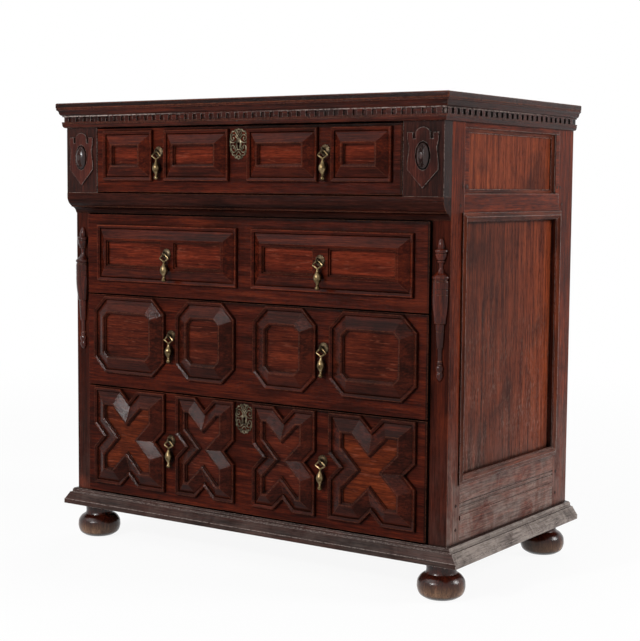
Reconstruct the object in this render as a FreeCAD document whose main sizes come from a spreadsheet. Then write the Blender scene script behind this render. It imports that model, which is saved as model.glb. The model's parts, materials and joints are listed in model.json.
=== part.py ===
"""A joined oak chest of four drawers with applied geometric mouldings.

Millimetres. X runs to the chest's left-to-right, Y to its back, Z up; the drawers open towards -Y.
Every piece is drawn from the front face of the lower stiles, then set back by half of the overall depth.
"""
import FreeCAD
import Part
import Sketcher
import math
import os
from types import SimpleNamespace

# Driving sizes, one cell each.
SIZES = {
    # overall frame
    "carcass_width": 960,
    "carcass_depth": 532,
    "stile_width": 40,
    "front_stile_depth": 50,
    "rear_stile_depth": 68,
    "upper_step": 30,
    "corner_block_width": 90,
    # heights, from the floor up
    "foot_height": 74,
    "base_height": 37,
    "drawer_4_height": 237,
    "drawer_3_height": 202,
    "drawer_2_height": 174,
    "waist_height": 44,
    "drawer_1_height": 136,
    "cornice_bead": 6,
    "dentil_band": 18,
    "cornice_fillet": 3,
    "cornice_cyma": 15,
    "top_thickness": 12,
    "drawer_gap": 3,
    # top and base mouldings
    "top_overhang": 18,
    "cyma_lip": 1.5,
    "cyma_start": 8,
    "cyma_turn": 6,
    "cyma_radius": 7.5,
    "bead_radius": 3.2,
    "dentil_face": 4,
    "dentil_width": 12,
    "dentil_pitch": 22,
    "fillet_proud": 7,
    "base_side_overhang": 30,
    "base_front_overhang": 16,
    "waist_ovolo": 24,
    "waist_cove": 13,
    "waist_cove_radius": 15.6,
    # front rails
    "rail_setback": 18,
    "rail_thickness": 30,
    "rail_lap": 9.5,
    "rail_clearance": 2.5,
    "tenon_thickness": 12,
    "front_tenon_length": 22,
    "tenon_shoulder": 5,
    # side frames
    "side_rail_thickness": 22,
    "side_top_rail_height": 52,
    "side_middle_rail_height": 44,
    "side_middle_rail_rise": 6,
    "side_bottom_rail_bottom": 90,
    "side_bottom_rail_top": 232,
    "side_tenon_thickness": 10,
    "side_tenon_inset": 6,
    "side_tenon_length": 30,
    "side_tenon_shoulder": 10,
    "upper_strip_width": 16,
    "panel_thickness": 10,
    "panel_setback": 10,
    "panel_groove": 8,
    "peg_radius": 4,
    "peg_depth": 17,
    "peg_proud": 0.6,
    "strip_peg_depth": 8,
    "strip_peg_inset": 6,
    "strip_peg_rise": 14,
    "run_bead_rise": 64,
    "run_bead_height": 9,
    "run_bead_proud": 2.5,
    "scratch_spacing": 8,
    "scratch_width": 2,
    "scratch_depth": 1.5,
    "bolection_width": 18,
    "bolection_lap": 8,
    "bolection_proud": 7,
    "ovolo_width": 9,
    # back frame
    "back_rail_thickness": 22,
    "back_rail_setback": 6,
    "back_top_rail_height": 64,
    "back_bottom_rail_height": 80,
    "back_muntin_width": 60,
    "back_panel_thickness": 8,
    # drawer boxes
    "drawer_proud": 8,
    "front_thickness": 24,
    "front_side_gap": 1.5,
    "box_side_gap": 3,
    "box_side_thickness": 18,
    "box_lap": 8,
    "box_back_thickness": 14,
    "box_back_space": 52,
    "box_back_drop": 12,
    "box_bottom_thickness": 9,
    "box_bottom_rise": 3,
    # side-hung runners
    "runner_projection": 9,
    "runner_height": 20,
    "runner_start": 20,
    "runner_end_space": 32,
    "runner_fit": 0.4,
    "groove_fit": 0.6,
    # applied panels on the drawer fronts
    "bead_width": 8,
    "bead_edge": 3.5,
    "bead_crest": 6.5,
    "bead_soft": 0.8,
    "bead_shoulder": 1.6,
    "quirk_height": 2.5,
    "bevel_rise": 15,
    "lip_flat": 2,
    "lip_step": 2,
    "lip_edge": 2,
    "lip_fall": 4,
    "lip_drop": 1.5,
    "field_rise": 7,
    "centre_strip": 48,
    "pull_strip": 32,
    "wide_bevel": 25,
    "small_bevel": 21,
    "drawer_1_inner_extra": 34,
    "drawer_1_end_space": 22,
    "drawer_1_panel_height": 107,
    "drawer_1_panel_drop": 5,
    "drawer_2_strip": 38,
    "drawer_2_end_space": 34,
    "drawer_2_panel_height": 124,
    "drawer_2_panel_drop": 22,
    "sunk_margin": 5,
    "sunk_step": 3,
    "sunk_depth": 7,
    "handle_strip": 36,
    "geometric_outer_extra": 45,
    "geometric_end_space": 23,
    "octagon_height": 171,
    "octagon_chamfer": 33,
    "star_height": 216,
    "star_notch": 25,
    "inner_saltire": 4.5,
    "outer_saltire": 21.3,
    "geometric_panel_drop": 2,
    # brass pulls
    "rosette_radius": 12,
    "rosette_rim": 1.4,
    "rosette_thickness": 3,
    "rosette_boss": 5,
    "rosette_core_radius": 3,
    "staple_reach": 9.2,
    "staple_ring_radius": 4.6,
    "staple_wire": 2.8,
    "eye_bar": 7,
    "eye_bar_radius": 1.5,
    "eye_wire": 2.6,
    "eye_fit": 0.4,
    "eye_width": 24,
    "eye_shoulder": 8,
    "eye_height": 15,
    "drop_neck_radius": 2.6,
    "drop_shoulder_radius": 7,
    "drop_shoulder_depth": 26,
    "drop_body_radius": 8.7,
    "drop_body_depth": 33,
    "drop_waist_radius": 3,
    "drop_waist_depth": 47,
    "drop_button_radius": 5.5,
    "drop_button_depth": 53,
    "drop_tip_radius": 2,
    "drop_core_radius": 1,
    "drop_length": 58,
    "pull_rise": 8,
    "drawer_2_pull_rise": 3,
    # locks of drawers 1 and 4
    "escutcheon_width": 46,
    "escutcheon_height": 64,
    "escutcheon_thickness": 2,
    "key_drop": 36,
    "keyhole_radius": 3,
    "keyhole_slot": 3,
    "keyhole_length": 11,
    "lock_width": 80,
    "lock_height": 52,
    "lock_thickness": 18,
    "bolt_width": 40,
    "bolt_height": 24,
    "bolt_thickness": 5,
    "bolt_setback": 9,
    "bolt_fit": 0.5,
    "bolt_throw": 8,
    # corner plaques
    "shield_width": 68,
    "shield_top_space": 11,
    "shield_thickness": 3,
    "arch_width": 32,
    "arch_rise": 10,
    "arch_radius": 18,
    "ear_gap": 6,
    "ear_gap_depth": 12,
    "ear_height": 14,
    "shield_waist": 4,
    "shield_waist_drop": 28,
    "shield_side_height": 70,
    "shield_foot_height": 35,
    "boss_width": 29,
    "boss_height": 51,
    "boss_rise": 11,
    "boss_drop": 65,
    "boss_rim": 2,
    "boss_shoulder": 7,
    "boss_shoulder_inset": 3.5,
    "boss_crown_inset": 10,
    # split spindles
    "spindle_drop": 29,
    "spindle_core_radius": 2,
    "spindle_tip_end_radius": 3,
    "spindle_tip_radius": 8,
    "spindle_ring_radius": 14.4,
    "spindle_cup_radius": 9,
    "spindle_neck_radius": 5.2,
    "spindle_collar_radius": 17.6,
    "spindle_barrel_radius": 17,
    "spindle_foot_radius": 13,
    "spindle_step_radius": 10,
    "spindle_stem_radius": 7.5,
    "spindle_ball_radius": 8.8,
    "spindle_dome": 9,
    "spindle_tip": 11,
    "spindle_ring": 9,
    "spindle_cup": 15,
    "spindle_neck": 17,
    "spindle_flare": 12,
    "spindle_collar": 8,
    "spindle_barrel": 44,
    "spindle_taper": 38,
    "spindle_step": 14,
    "spindle_stem": 34,
    "spindle_lower_neck": 31,
    "spindle_ball": 12,
    "spindle_point": 21,
    # bun feet
    "foot_sole_radius": 29,
    "foot_lower_radius": 43,
    "foot_lower_height": 9,
    "foot_radius": 47.5,
    "foot_bulge_bottom": 22,
    "foot_bulge_top": 33,
    "foot_upper_radius": 42,
    "foot_upper_height": 44,
    "foot_neck_radius": 31,
    "foot_bun_height": 50,
    "foot_inset": 30,
    "foot_front_inset": 36,
    "foot_rear_inset": 50,
    "foot_dowel_radius": 8,
    "foot_dowel_length": 24,
}


class Size:
    """A length that carries its number and the sheet expression that it comes from."""

    def __init__(self, number, text):
        self.number = number
        self.text = text

    def __add__(self, other):
        other = as_size(other)
        return Size(self.number + other.number, f"({self.text} + {other.text})")

    def __sub__(self, other):
        other = as_size(other)
        return Size(self.number - other.number, f"({self.text} - {other.text})")

    def __mul__(self, other):
        other = as_size(other)
        return Size(self.number * other.number, f"({self.text} * {other.text})")

    def __truediv__(self, other):
        other = as_size(other)
        return Size(self.number / other.number, f"({self.text} / {other.text})")

    def __neg__(self):
        return Size(-self.number, f"(-{self.text})")

    __radd__ = __add__
    __rmul__ = __mul__


def as_size(value):
    if isinstance(value, Size):
        return value
    return Size(float(value), f"({float(value)!r})")


doc = FreeCAD.newDocument("oak_chest_of_drawers")
sheet = doc.addObject("Spreadsheet::Sheet", "sizes")
for row, (name, number) in enumerate(SIZES.items(), start=1):
    sheet.set(f"A{row}", name)
    sheet.set(f"B{row}", str(number))
    sheet.setAlias(f"B{row}", name)
doc.recompute()
s = SimpleNamespace(**{name: Size(float(number), f"sizes.{name}") for name, number in SIZES.items()})

# Share of an inward offset by which the corners beside a 45 degree cut move along their edge.
MITRE_SHIFT = math.sqrt(2) - 1
DIAGONAL = math.sqrt(2)
# Flat sides given to the small round forms, which repeat.
PEG_SIDES = 4
WIRE_SIDES = 4
ROSETTE_SIDES = 8
DROP_SIDES = 8
OVAL_SIDES = 12
KEYHOLE_SIDES = 6
FOOT_SIDES = 16
SPINDLE_SIDES = 12
# Turn from straight down to where the round underside of an eye's bar ends.
BAR_TURN = math.radians(75)

# Main planes and levels.
half = s.carcass_width / 2
bay = half - s.stile_width
top_bay = half - s.corner_block_width
depth = s.carcass_depth
rear_stile_front = depth - s.rear_stile_depth
base_bottom = s.foot_height
base_top = base_bottom + s.base_height
floor_4 = base_top + s.drawer_gap
roof_4 = floor_4 + s.drawer_4_height
floor_3 = roof_4 + s.drawer_gap
roof_3 = floor_3 + s.drawer_3_height
floor_2 = roof_3 + s.drawer_gap
roof_2 = floor_2 + s.drawer_2_height
waist_bottom = roof_2 + s.drawer_gap
waist_top = waist_bottom + s.waist_height
floor_1 = waist_top + s.drawer_gap
roof_1 = floor_1 + s.drawer_1_height
cornice_bottom = roof_1 + s.drawer_gap
dentil_bottom = cornice_bottom + s.cornice_bead
dentil_top = dentil_bottom + s.dentil_band
cyma_bottom = dentil_top + s.cornice_fillet
top_bottom = cyma_bottom + s.cornice_cyma
upper_face = -s.upper_step
lower_face = -s.drawer_proud
front_edge = s.upper_step + s.top_overhang
set_back = (front_edge - depth) / 2

finished = []


def bind(item, prop, size):
    item.setExpression(prop, as_size(size).text)


def place(item, x, y, z):
    bind(item, "Placement.Base.x", x)
    bind(item, "Placement.Base.y", y)
    bind(item, "Placement.Base.z", z)


def finish(label, item, shifted=True):
    item.Label = label
    if shifted:
        bind(item, "Placement.Base.y", set_back)
    finished.append(item)
    return item


def block(name, x, y, z):
    item = doc.addObject("Part::Box", name)
    bind(item, "Length", x[1] - x[0])
    bind(item, "Width", y[1] - y[0])
    bind(item, "Height", z[1] - z[0])
    place(item, x[0], y[0], z[0])
    return item


TURNS = {
    "x": FreeCAD.Rotation(FreeCAD.Vector(0, 1, 0), 90),
    "y": FreeCAD.Rotation(FreeCAD.Vector(1, 0, 0), -90),
    "z": FreeCAD.Rotation(),
}
FACING_FRONT = FreeCAD.Rotation(FreeCAD.Vector(1, 0, 0), 90)


def flat_bar(name, axis, start, sides, radius, length):
    """A bar with flat sides, such as a riven peg; the radius goes to its corners."""
    item = doc.addObject("Part::Prism", name)
    item.Polygon = sides
    item.Placement = FreeCAD.Placement(FreeCAD.Vector(), TURNS[axis])
    bind(item, "Circumradius", radius)
    bind(item, "Height", length)
    place(item, *start)
    return item


def cut(name, base, tools):
    for number, tool in enumerate(tools, start=1):
        item = doc.addObject("Part::Cut", f"{name}_cut_{number}")
        item.Base = base
        item.Tool = tool
        base = item
    return base


def fuse(name, pieces):
    item = doc.addObject("Part::MultiFuse", f"{name}_whole")
    item.Shapes = pieces
    return item


def group(name, pieces):
    item = doc.addObject("Part::Compound", f"{name}_group")
    item.Links = pieces
    return item


def mirror(name, source):
    item = doc.addObject("Part::Mirroring", f"{name}_mirrored")
    item.Source = source
    item.Normal = FreeCAD.Vector(1, 0, 0)
    return item


def new_body(name):
    return doc.addObject("PartDesign::Body", f"{name}_body")


def new_sketch(body, name, role, offset=0):
    """A sketch on one of the body's own planes: XY looks up, XZ looks to the front, YZ looks right."""
    sketch = body.newObject("Sketcher::SketchObject", name)
    plane = [item for item in body.Origin.OriginFeatures if item.Role == role][0]
    sketch.AttachmentSupport = [(plane, "")]
    sketch.MapMode = "FlatFace"
    bind(sketch, "AttachmentOffset.Base.z", offset)
    return sketch


def arc_through(start, end, radius, side):
    chord = end - start
    rise = radius - math.sqrt(radius * radius - chord.Length * chord.Length / 4)
    across = FreeCAD.Vector(-chord.y, chord.x, 0).normalize()
    crown = (start + end) / 2 + across * rise * side
    if side > 0:
        return Part.Arc(end, crown, start)
    return Part.Arc(start, crown, end)


def add_loop(sketch, points, arcs=None):
    """A closed loop through bound points; arcs gives an edge's number its radius and the side it bulges to."""
    arcs = arcs or {}
    first = sketch.GeometryCount
    count = len(points)
    corners = [FreeCAD.Vector(as_size(x).number, as_size(y).number, 0) for x, y in points]
    ends = []
    for edge in range(count):
        start = corners[edge]
        end = corners[(edge + 1) % count]
        if edge in arcs:
            radius, side = arcs[edge]
            sketch.addGeometry(arc_through(start, end, as_size(radius).number, side), False)
        else:
            sketch.addGeometry(Part.LineSegment(start, end), False)
        forward = (sketch.Geometry[first + edge].StartPoint - start).Length < 1e-6
        ends.append((1, 2) if forward else (2, 1))
    for edge in range(count):
        after = (edge + 1) % count
        link = Sketcher.Constraint("Coincident", first + edge, ends[edge][1], first + after, ends[after][0])
        sketch.addConstraint(link)
    for edge, (x, y) in enumerate(points):
        for kind, size in (("DistanceX", as_size(x)), ("DistanceY", as_size(y))):
            rule = Sketcher.Constraint(kind, -1, 1, first + edge, ends[edge][0], size.number)
            number = sketch.addConstraint(rule)
            sketch.setExpression(f"Constraints[{number}]", size.text)
    for edge, (radius, side) in arcs.items():
        number = sketch.addConstraint(Sketcher.Constraint("Radius", first + edge, as_size(radius).number))
        sketch.setExpression(f"Constraints[{number}]", as_size(radius).text)
    return sketch


def oval_loop(sketch, centre, width, height, sides):
    """An oval or a circle of short straight runs."""
    across, up = centre
    corners = []
    for number in range(sides):
        turn = math.tau * number / sides
        corners.append((across + width * (math.cos(turn) / 2), up + height * (math.sin(turn) / 2)))
    return add_loop(sketch, corners)


def pad(body, name, sketch, length, symmetric=False):
    item = body.newObject("PartDesign::Pad", name)
    item.Profile = sketch
    item.SideType = "Symmetric" if symmetric else "One side"
    bind(item, "Length", length)
    return item


def pocket(body, name, sketch, length=None):
    item = body.newObject("PartDesign::Pocket", name)
    item.Profile = sketch
    if length is None:
        item.SideType = "Symmetric"
        item.Type = "ThroughAll"
    else:
        bind(item, "Length", length)
    return item


def faceted_turning(name, sides, core, profile):
    """A turned form with flat sides: its profile, from the bottom up, swept round a straight core."""
    body = new_body(name)
    corner = core / math.cos(math.pi / sides)
    corners = []
    for number in range(sides):
        turn = math.tau * (number + 0.5) / sides
        corners.append((corner * math.cos(turn), corner * math.sin(turn)))
    bottom = profile[0][1]
    top = profile[-1][1]
    core_outline = add_loop(new_sketch(body, f"{name}_core_outline", "XY_Plane", bottom), corners)
    pad(body, f"{name}_core", core_outline, top - bottom)
    path = add_loop(new_sketch(body, f"{name}_path", "XY_Plane", bottom), [(core, 0)] + corners)
    section = new_sketch(body, f"{name}_section", "XZ_Plane")
    add_loop(section, [(core, bottom)] + profile + [(core, top)])
    swept(body, f"{name}_turning", section, path)
    return body


def lofted(body, name, sections):
    feature = body.newObject("PartDesign::AdditiveLoft", name)
    feature.Profile = sections[0]
    feature.Sections = sections[1:]
    feature.Ruled = True
    return feature


def swept(body, name, section, path):
    item = body.newObject("PartDesign::AdditivePipe", name)
    item.Profile = section
    item.Spine = (path, [])
    item.Transition = "Right corner"
    return item


# Joinery shared by the frame: each bar is the pair of tenons of one rail.
front_tenon_back = s.rail_setback + (s.rail_thickness + s.tenon_thickness) / 2
front_tenon_front = front_tenon_back - s.tenon_thickness
tenon_reach = bay + s.front_tenon_length


def front_bar(name, bottom, top):
    return block(name, (-tenon_reach, tenon_reach), (front_tenon_front, front_tenon_back), (bottom, top))


rail_back = s.rail_setback + s.rail_thickness
waist_rail_bottom = roof_2 - s.rail_lap
waist_rail_top = floor_1 + s.rail_lap
top_rail_bottom = roof_1 - s.rail_lap
upper_dust_bottom = roof_3 - s.rail_lap
upper_dust_top = floor_2 + s.rail_lap
lower_dust_bottom = roof_4 - s.rail_lap
lower_dust_top = floor_3 + s.rail_lap
bottom_rail_top = floor_4 + s.rail_lap
foot_dowel_top = base_bottom + s.foot_dowel_length
shoulder = s.tenon_shoulder

bars = {
    "top": front_bar("top_rail_tenons", top_rail_bottom + shoulder, top_bottom - shoulder),
    "waist": front_bar("waist_rail_tenons", waist_rail_bottom + shoulder, waist_rail_top - shoulder),
    "upper_dust": front_bar("upper_dust_tenons", upper_dust_bottom + shoulder, upper_dust_top - shoulder),
    "lower_dust": front_bar("lower_dust_tenons", lower_dust_bottom + shoulder, lower_dust_top - shoulder),
    "bottom": front_bar("bottom_tenons", foot_dowel_top + s.rail_clearance, bottom_rail_top - shoulder),
}

# Bolts of the two locks, which the rails above them are mortised for.
bolt_half = s.bolt_width / 2


def bolt_front(face):
    return face + s.front_thickness + s.bolt_setback


def bolt_mortise(name, face, rail_bottom):
    near = bolt_front(face)
    return block(
        name,
        (-bolt_half - s.bolt_fit, bolt_half + s.bolt_fit),
        (near - s.bolt_fit, near + s.bolt_thickness + s.bolt_fit),
        (rail_bottom, rail_bottom + s.bolt_throw),
    )


top_rail_front = block(
    "top_rail_front", (-top_bay, top_bay), (upper_face, as_size(0)), (cornice_bottom, top_bottom)
)
top_rail_back = block("top_rail_back", (-bay, bay), (as_size(0), rail_back), (top_rail_bottom, top_bottom))
top_rail = cut(
    "top_rail",
    fuse("top_rail", [top_rail_front, top_rail_back, bars["top"]]),
    [bolt_mortise("top_rail_mortise", upper_face, top_rail_bottom)],
)
rail_front_span = (as_size(0), s.rail_setback)
rail_back_span = (s.rail_setback, rail_back)
waist_rail_front = block("waist_rail_front", (-bay, bay), rail_front_span, (waist_bottom, waist_top))
waist_rail_back = block("waist_rail_back", (-bay, bay), rail_back_span, (waist_rail_bottom, waist_rail_top))
waist_rail = fuse("waist_rail", [waist_rail_front, waist_rail_back, bars["waist"]])
upper_dust_span = (upper_dust_bottom, upper_dust_top)
upper_dust_board = block("upper_dust_board", (-bay, bay), rail_back_span, upper_dust_span)
upper_dust_rail = fuse("upper_dust_rail", [upper_dust_board, bars["upper_dust"]])
lower_dust_span = (lower_dust_bottom, lower_dust_top)
lower_dust_board = block("lower_dust_board", (-bay, bay), rail_back_span, lower_dust_span)
lower_dust_rail = cut(
    "lower_dust_rail",
    fuse("lower_dust_rail", [lower_dust_board, bars["lower_dust"]]),
    [bolt_mortise("lower_dust_mortise", lower_face, lower_dust_bottom)],
)
bottom_rail_front = block("bottom_rail_front", (-bay, bay), rail_front_span, (base_bottom, base_top))
bottom_rail_back = block("bottom_rail_back", (-bay, bay), rail_back_span, (base_bottom, bottom_rail_top))
bottom_rail = fuse("bottom_rail", [bottom_rail_front, bottom_rail_back, bars["bottom"]])
finish(
    "front_rails",
    group("front_rails", [top_rail, waist_rail, upper_dust_rail, lower_dust_rail, bottom_rail]),
)

# Side frames, drawn on the right and mirrored.
side_inner = half - s.side_rail_thickness
side_tenon_outer = half - s.side_tenon_inset
side_tenon_inner = side_tenon_outer - s.side_tenon_thickness
side_front = s.front_stile_depth
side_back = rear_stile_front
middle_bottom = waist_bottom + s.side_middle_rail_rise
middle_top = middle_bottom + s.side_middle_rail_height
side_top_bottom = top_bottom - s.side_top_rail_height
panel_outer = half - s.panel_setback
panel_inner = panel_outer - s.panel_thickness


def side_bar(name, bottom, top):
    return block(
        name,
        (side_tenon_inner, side_tenon_outer),
        (side_front - s.side_tenon_length, side_back + s.side_tenon_length),
        (bottom + s.side_tenon_shoulder, top - s.side_tenon_shoulder),
    )


side_levels = {
    "side_top": (side_top_bottom, top_bottom),
    "side_middle": (middle_bottom, middle_top),
    "side_bottom": (s.side_bottom_rail_bottom, s.side_bottom_rail_top),
}
side_bars = {name: side_bar(f"{name}_tenons", *levels) for name, levels in side_levels.items()}


def panel_board(name, bottom, top):
    return block(
        name,
        (panel_inner, panel_outer),
        (side_front - s.panel_groove, side_back + s.panel_groove),
        (bottom - s.panel_groove, top + s.panel_groove),
    )


upper_panel = panel_board("upper_side_panel", middle_top, side_top_bottom)
lower_panel = panel_board("lower_side_panel", s.side_bottom_rail_top, middle_bottom)

upper_front = side_front + s.upper_strip_width
upper_back = side_back - s.upper_strip_width


def peg(name, y, z, depth_in):
    return flat_bar(name, "x", (half - depth_in, y, z), PEG_SIDES, s.peg_radius, depth_in + s.peg_proud)


# Pegs: one or two through each tenon, and a short pair over the middle rail at each upper strip.
tenon_middle = s.side_tenon_length / 2
bottom_third = (s.side_bottom_rail_top - s.side_bottom_rail_bottom) / 3
peg_levels = {
    "side_top": [],
    "side_middle": [(middle_bottom + middle_top) / 2],
    "side_bottom": [s.side_bottom_rail_bottom + bottom_third, s.side_bottom_rail_top - bottom_third],
}
strip_peg_z = middle_top + s.strip_peg_rise
strip_middle = s.upper_strip_width / 2
front_pegs = [peg("front_strip_stile_peg", side_front - s.strip_peg_inset, strip_peg_z, s.strip_peg_depth)]
rear_pegs = [peg("rear_strip_stile_peg", side_back + s.strip_peg_inset, strip_peg_z, s.strip_peg_depth)]
strip_pegs = [
    peg("front_strip_peg", side_front + strip_middle, strip_peg_z, s.strip_peg_depth),
    peg("rear_strip_peg", side_back - strip_middle, strip_peg_z, s.strip_peg_depth),
]
rail_pegs = {}
for name, levels in peg_levels.items():
    rail_pegs[name] = []
    for number, z in enumerate(levels, start=1):
        front_peg = peg(f"{name}_front_peg_{number}", side_front - tenon_middle, z, s.peg_depth)
        rear_peg = peg(f"{name}_rear_peg_{number}", side_back + tenon_middle, z, s.peg_depth)
        front_pegs.append(front_peg)
        rear_pegs.append(rear_peg)
        rail_pegs[name] += [front_peg, rear_peg]

# A run bead and two scratched lines along the bottom rail.
bead_low = s.side_bottom_rail_bottom + s.run_bead_rise
bead_high = bead_low + s.run_bead_height
run_bead_span = (half, half + s.run_bead_proud)
run_bead = block("run_bead", run_bead_span, (side_front, side_back), (bead_low, bead_high))
scratches = []
for number in (1, 2):
    scratch_low = bead_high + s.scratch_spacing * (number + 1)
    scratch_span = (scratch_low, scratch_low + s.scratch_width)
    scratches.append(
        block(f"scratch_{number}", (half - s.scratch_depth, half), (side_front, side_back), scratch_span)
    )

side_rails = []
for name, (bottom, top) in side_levels.items():
    board = block(f"{name}_board", (side_inner, half), (side_front, side_back), (bottom, top))
    runs = [run_bead] if name == "side_bottom" else []
    lines = scratches if name == "side_bottom" else []
    rail = fuse(f"{name}_rail", [board, side_bars[name]] + runs)
    side_rails.append(cut(f"{name}_rail", rail, rail_pegs[name] + [upper_panel, lower_panel] + lines))
strips = [
    ("upper_front_strip", (side_front, upper_front), strip_pegs[0]),
    ("upper_rear_strip", (upper_back, side_back), strip_pegs[1]),
]
for name, span, strip_peg in strips:
    strip = block(name, (side_inner, half), span, (middle_top, side_top_bottom))
    side_rails.append(cut(name, strip, [upper_panel, strip_peg]))
right_rails = finish("side_rails_right", group("side_rails_right", side_rails))
finish("side_rails_left", mirror("side_rails_left", right_rails), shifted=False)
right_panels = finish("side_panels_right", group("side_panels_right", [upper_panel, lower_panel]))
finish("side_panels_left", mirror("side_panels_left", right_panels), shifted=False)

# Mitred frames round the side panels, swept along the edge of each opening.
bolection_body = new_body("bolection")
lap = s.bolection_lap
frame_front = side_front - lap
frame_back = side_back + lap
frame_bottom = s.side_bottom_rail_top - lap
frame_top = middle_bottom + lap
frame_middle = (frame_front + frame_back) / 2
bolection_path = add_loop(
    new_sketch(bolection_body, "bolection_path", "YZ_Plane", half),
    [
        (frame_middle, frame_bottom),
        (frame_back, frame_bottom),
        (frame_back, frame_top),
        (frame_front, frame_top),
        (frame_front, frame_bottom),
    ],
)
bolection_inner = frame_bottom + s.bolection_width
bolection_section = add_loop(
    new_sketch(bolection_body, "bolection_section", "XZ_Plane", -frame_middle),
    [
        (half, frame_bottom),
        (half + s.bead_edge, frame_bottom),
        (half + s.bolection_proud, frame_bottom + lap),
        (half + s.quirk_height, bolection_inner - s.lip_edge),
        (half, bolection_inner),
        (panel_outer, bolection_inner),
        (panel_outer, frame_bottom + lap),
        (half, frame_bottom + lap),
    ],
    {1: (s.bolection_width / 2, 1)},
)
swept(bolection_body, "bolection_frame", bolection_section, bolection_path)

ovolo_body = new_body("ovolo")
ovolo_middle = (upper_front + upper_back) / 2
ovolo_path = add_loop(
    new_sketch(ovolo_body, "ovolo_path", "YZ_Plane", panel_outer),
    [
        (ovolo_middle, middle_top),
        (upper_back, middle_top),
        (upper_back, side_top_bottom),
        (upper_front, side_top_bottom),
        (upper_front, middle_top),
    ],
)
ovolo_section = add_loop(
    new_sketch(ovolo_body, "ovolo_section", "XZ_Plane", -ovolo_middle),
    [
        (panel_outer, middle_top),
        (half - s.lip_edge, middle_top),
        (panel_outer + s.lip_edge, middle_top + s.ovolo_width),
        (panel_outer, middle_top + s.ovolo_width),
    ],
    {1: (s.ovolo_width, 1)},
)
swept(ovolo_body, "ovolo_frame", ovolo_section, ovolo_path)
right_frames = group("right_side_frames", [bolection_body, ovolo_body])
left_frames = mirror("left_side_frames", right_frames)
finish("side_panel_mouldings", group("side_panel_mouldings", [right_frames, left_frames]))

# Back frame.
back_outer = depth - s.back_rail_setback
back_inner = back_outer - s.back_rail_thickness
back_middle = (back_outer + back_inner) / 2
tenon_half = s.side_tenon_thickness / 2
back_tenon = (back_middle - tenon_half, back_middle + tenon_half)
back_panel_half = s.back_panel_thickness / 2
back_panel_span = (back_middle - back_panel_half, back_middle + back_panel_half)
back_top_bottom = top_bottom - s.back_top_rail_height
back_bottom_top = s.side_bottom_rail_bottom + s.back_bottom_rail_height
muntin_half = s.back_muntin_width / 2
inset = s.side_tenon_shoulder
back_levels = {
    "back_top": (back_top_bottom, top_bottom),
    "back_bottom": (s.side_bottom_rail_bottom, back_bottom_top),
}
muntin_bar = block(
    "back_muntin_tenons",
    (-muntin_half + inset, muntin_half - inset),
    back_tenon,
    (back_bottom_top - s.front_tenon_length, back_top_bottom + s.front_tenon_length),
)
back_panels = []
for name, sign in (("back_panel_left", -1), ("back_panel_right", 1)):
    outer = (bay + s.panel_groove) * sign
    inner = (muntin_half - s.panel_groove) * sign
    span = (outer, inner) if sign < 0 else (inner, outer)
    rise = (back_bottom_top - s.panel_groove, back_top_bottom + s.panel_groove)
    back_panels.append(block(name, span, back_panel_span, rise))
back_bars = {}
back_rails = []
for name, (bottom, top) in back_levels.items():
    bar = block(f"{name}_tenons", (-tenon_reach, tenon_reach), back_tenon, (bottom + inset, top - inset))
    board = block(f"{name}_board", (-bay, bay), (back_inner, back_outer), (bottom, top))
    back_bars[name] = bar
    back_rails.append(cut(f"{name}_rail", fuse(f"{name}_rail", [board, bar]), [muntin_bar] + back_panels))
muntin_board = block(
    "back_muntin_board",
    (-muntin_half, muntin_half),
    (back_inner, back_outer),
    (back_bottom_top, back_top_bottom),
)
back_rails.append(cut("back_muntin", fuse("back_muntin", [muntin_board, muntin_bar]), back_panels))
finish("back_rails", group("back_rails", back_rails))
finish("back_panels", group("back_panels", back_panels))

# Bun feet, turned with a dowel that goes up into the stile.
foot_x = half - s.foot_inset
foot_places = {
    "front_right": (foot_x, s.foot_front_inset),
    "front_left": (-foot_x, s.foot_front_inset),
    "rear_right": (foot_x, depth - s.foot_rear_inset),
    "rear_left": (-foot_x, depth - s.foot_rear_inset),
}
foot_profile = [
    (s.foot_sole_radius, as_size(0)),
    (s.foot_lower_radius, s.foot_lower_height),
    (s.foot_radius, s.foot_bulge_bottom),
    (s.foot_radius, s.foot_bulge_top),
    (s.foot_upper_radius, s.foot_upper_height),
    (s.foot_neck_radius, s.foot_bun_height),
    (s.foot_neck_radius, s.foot_height),
]
feet = []
dowels = {}
for name, (x, y) in foot_places.items():
    body = faceted_turning(f"{name}_foot", FOOT_SIDES, s.foot_dowel_radius, foot_profile)
    place(body, x, y, 0)
    dowels[name] = flat_bar(
        f"{name}_dowel",
        "z",
        (x, y, base_bottom),
        PEG_SIDES,
        s.foot_dowel_radius,
        s.foot_dowel_length,
    )
    feet.append(fuse(f"{name}_foot", [body, dowels[name]]))
finish("bun_feet", group("bun_feet", feet))

# Stiles, mortised for every tenon, grooved for the panels and bored for the pegs and dowels.
stile_height = (base_bottom, top_bottom)
front_stile_board = block("front_stile_board", (bay, half), (as_size(0), side_front), stile_height)
front_tools = list(bars.values()) + list(side_bars.values()) + front_pegs
front_tools += [upper_panel, lower_panel, dowels["front_right"]]
front_stile = finish("front_stile_right", cut("front_stile", front_stile_board, front_tools))
finish("front_stile_left", mirror("front_stile_left", front_stile), shifted=False)
rear_stile_board = block("rear_stile_board", (bay, half), (side_back, depth), stile_height)
rear_tools = list(back_bars.values()) + list(side_bars.values()) + rear_pegs
rear_tools += [upper_panel, lower_panel, back_panels[1], dowels["rear_right"]]
rear_stile = finish("rear_stile_right", cut("rear_stile", rear_stile_board, rear_tools))
finish("rear_stile_left", mirror("rear_stile_left", rear_stile), shifted=False)
right_pegs = group("right_pegs", front_pegs + rear_pegs + strip_pegs)
finish("joint_pegs", group("joint_pegs", [right_pegs, mirror("left_pegs", right_pegs)]))

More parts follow.
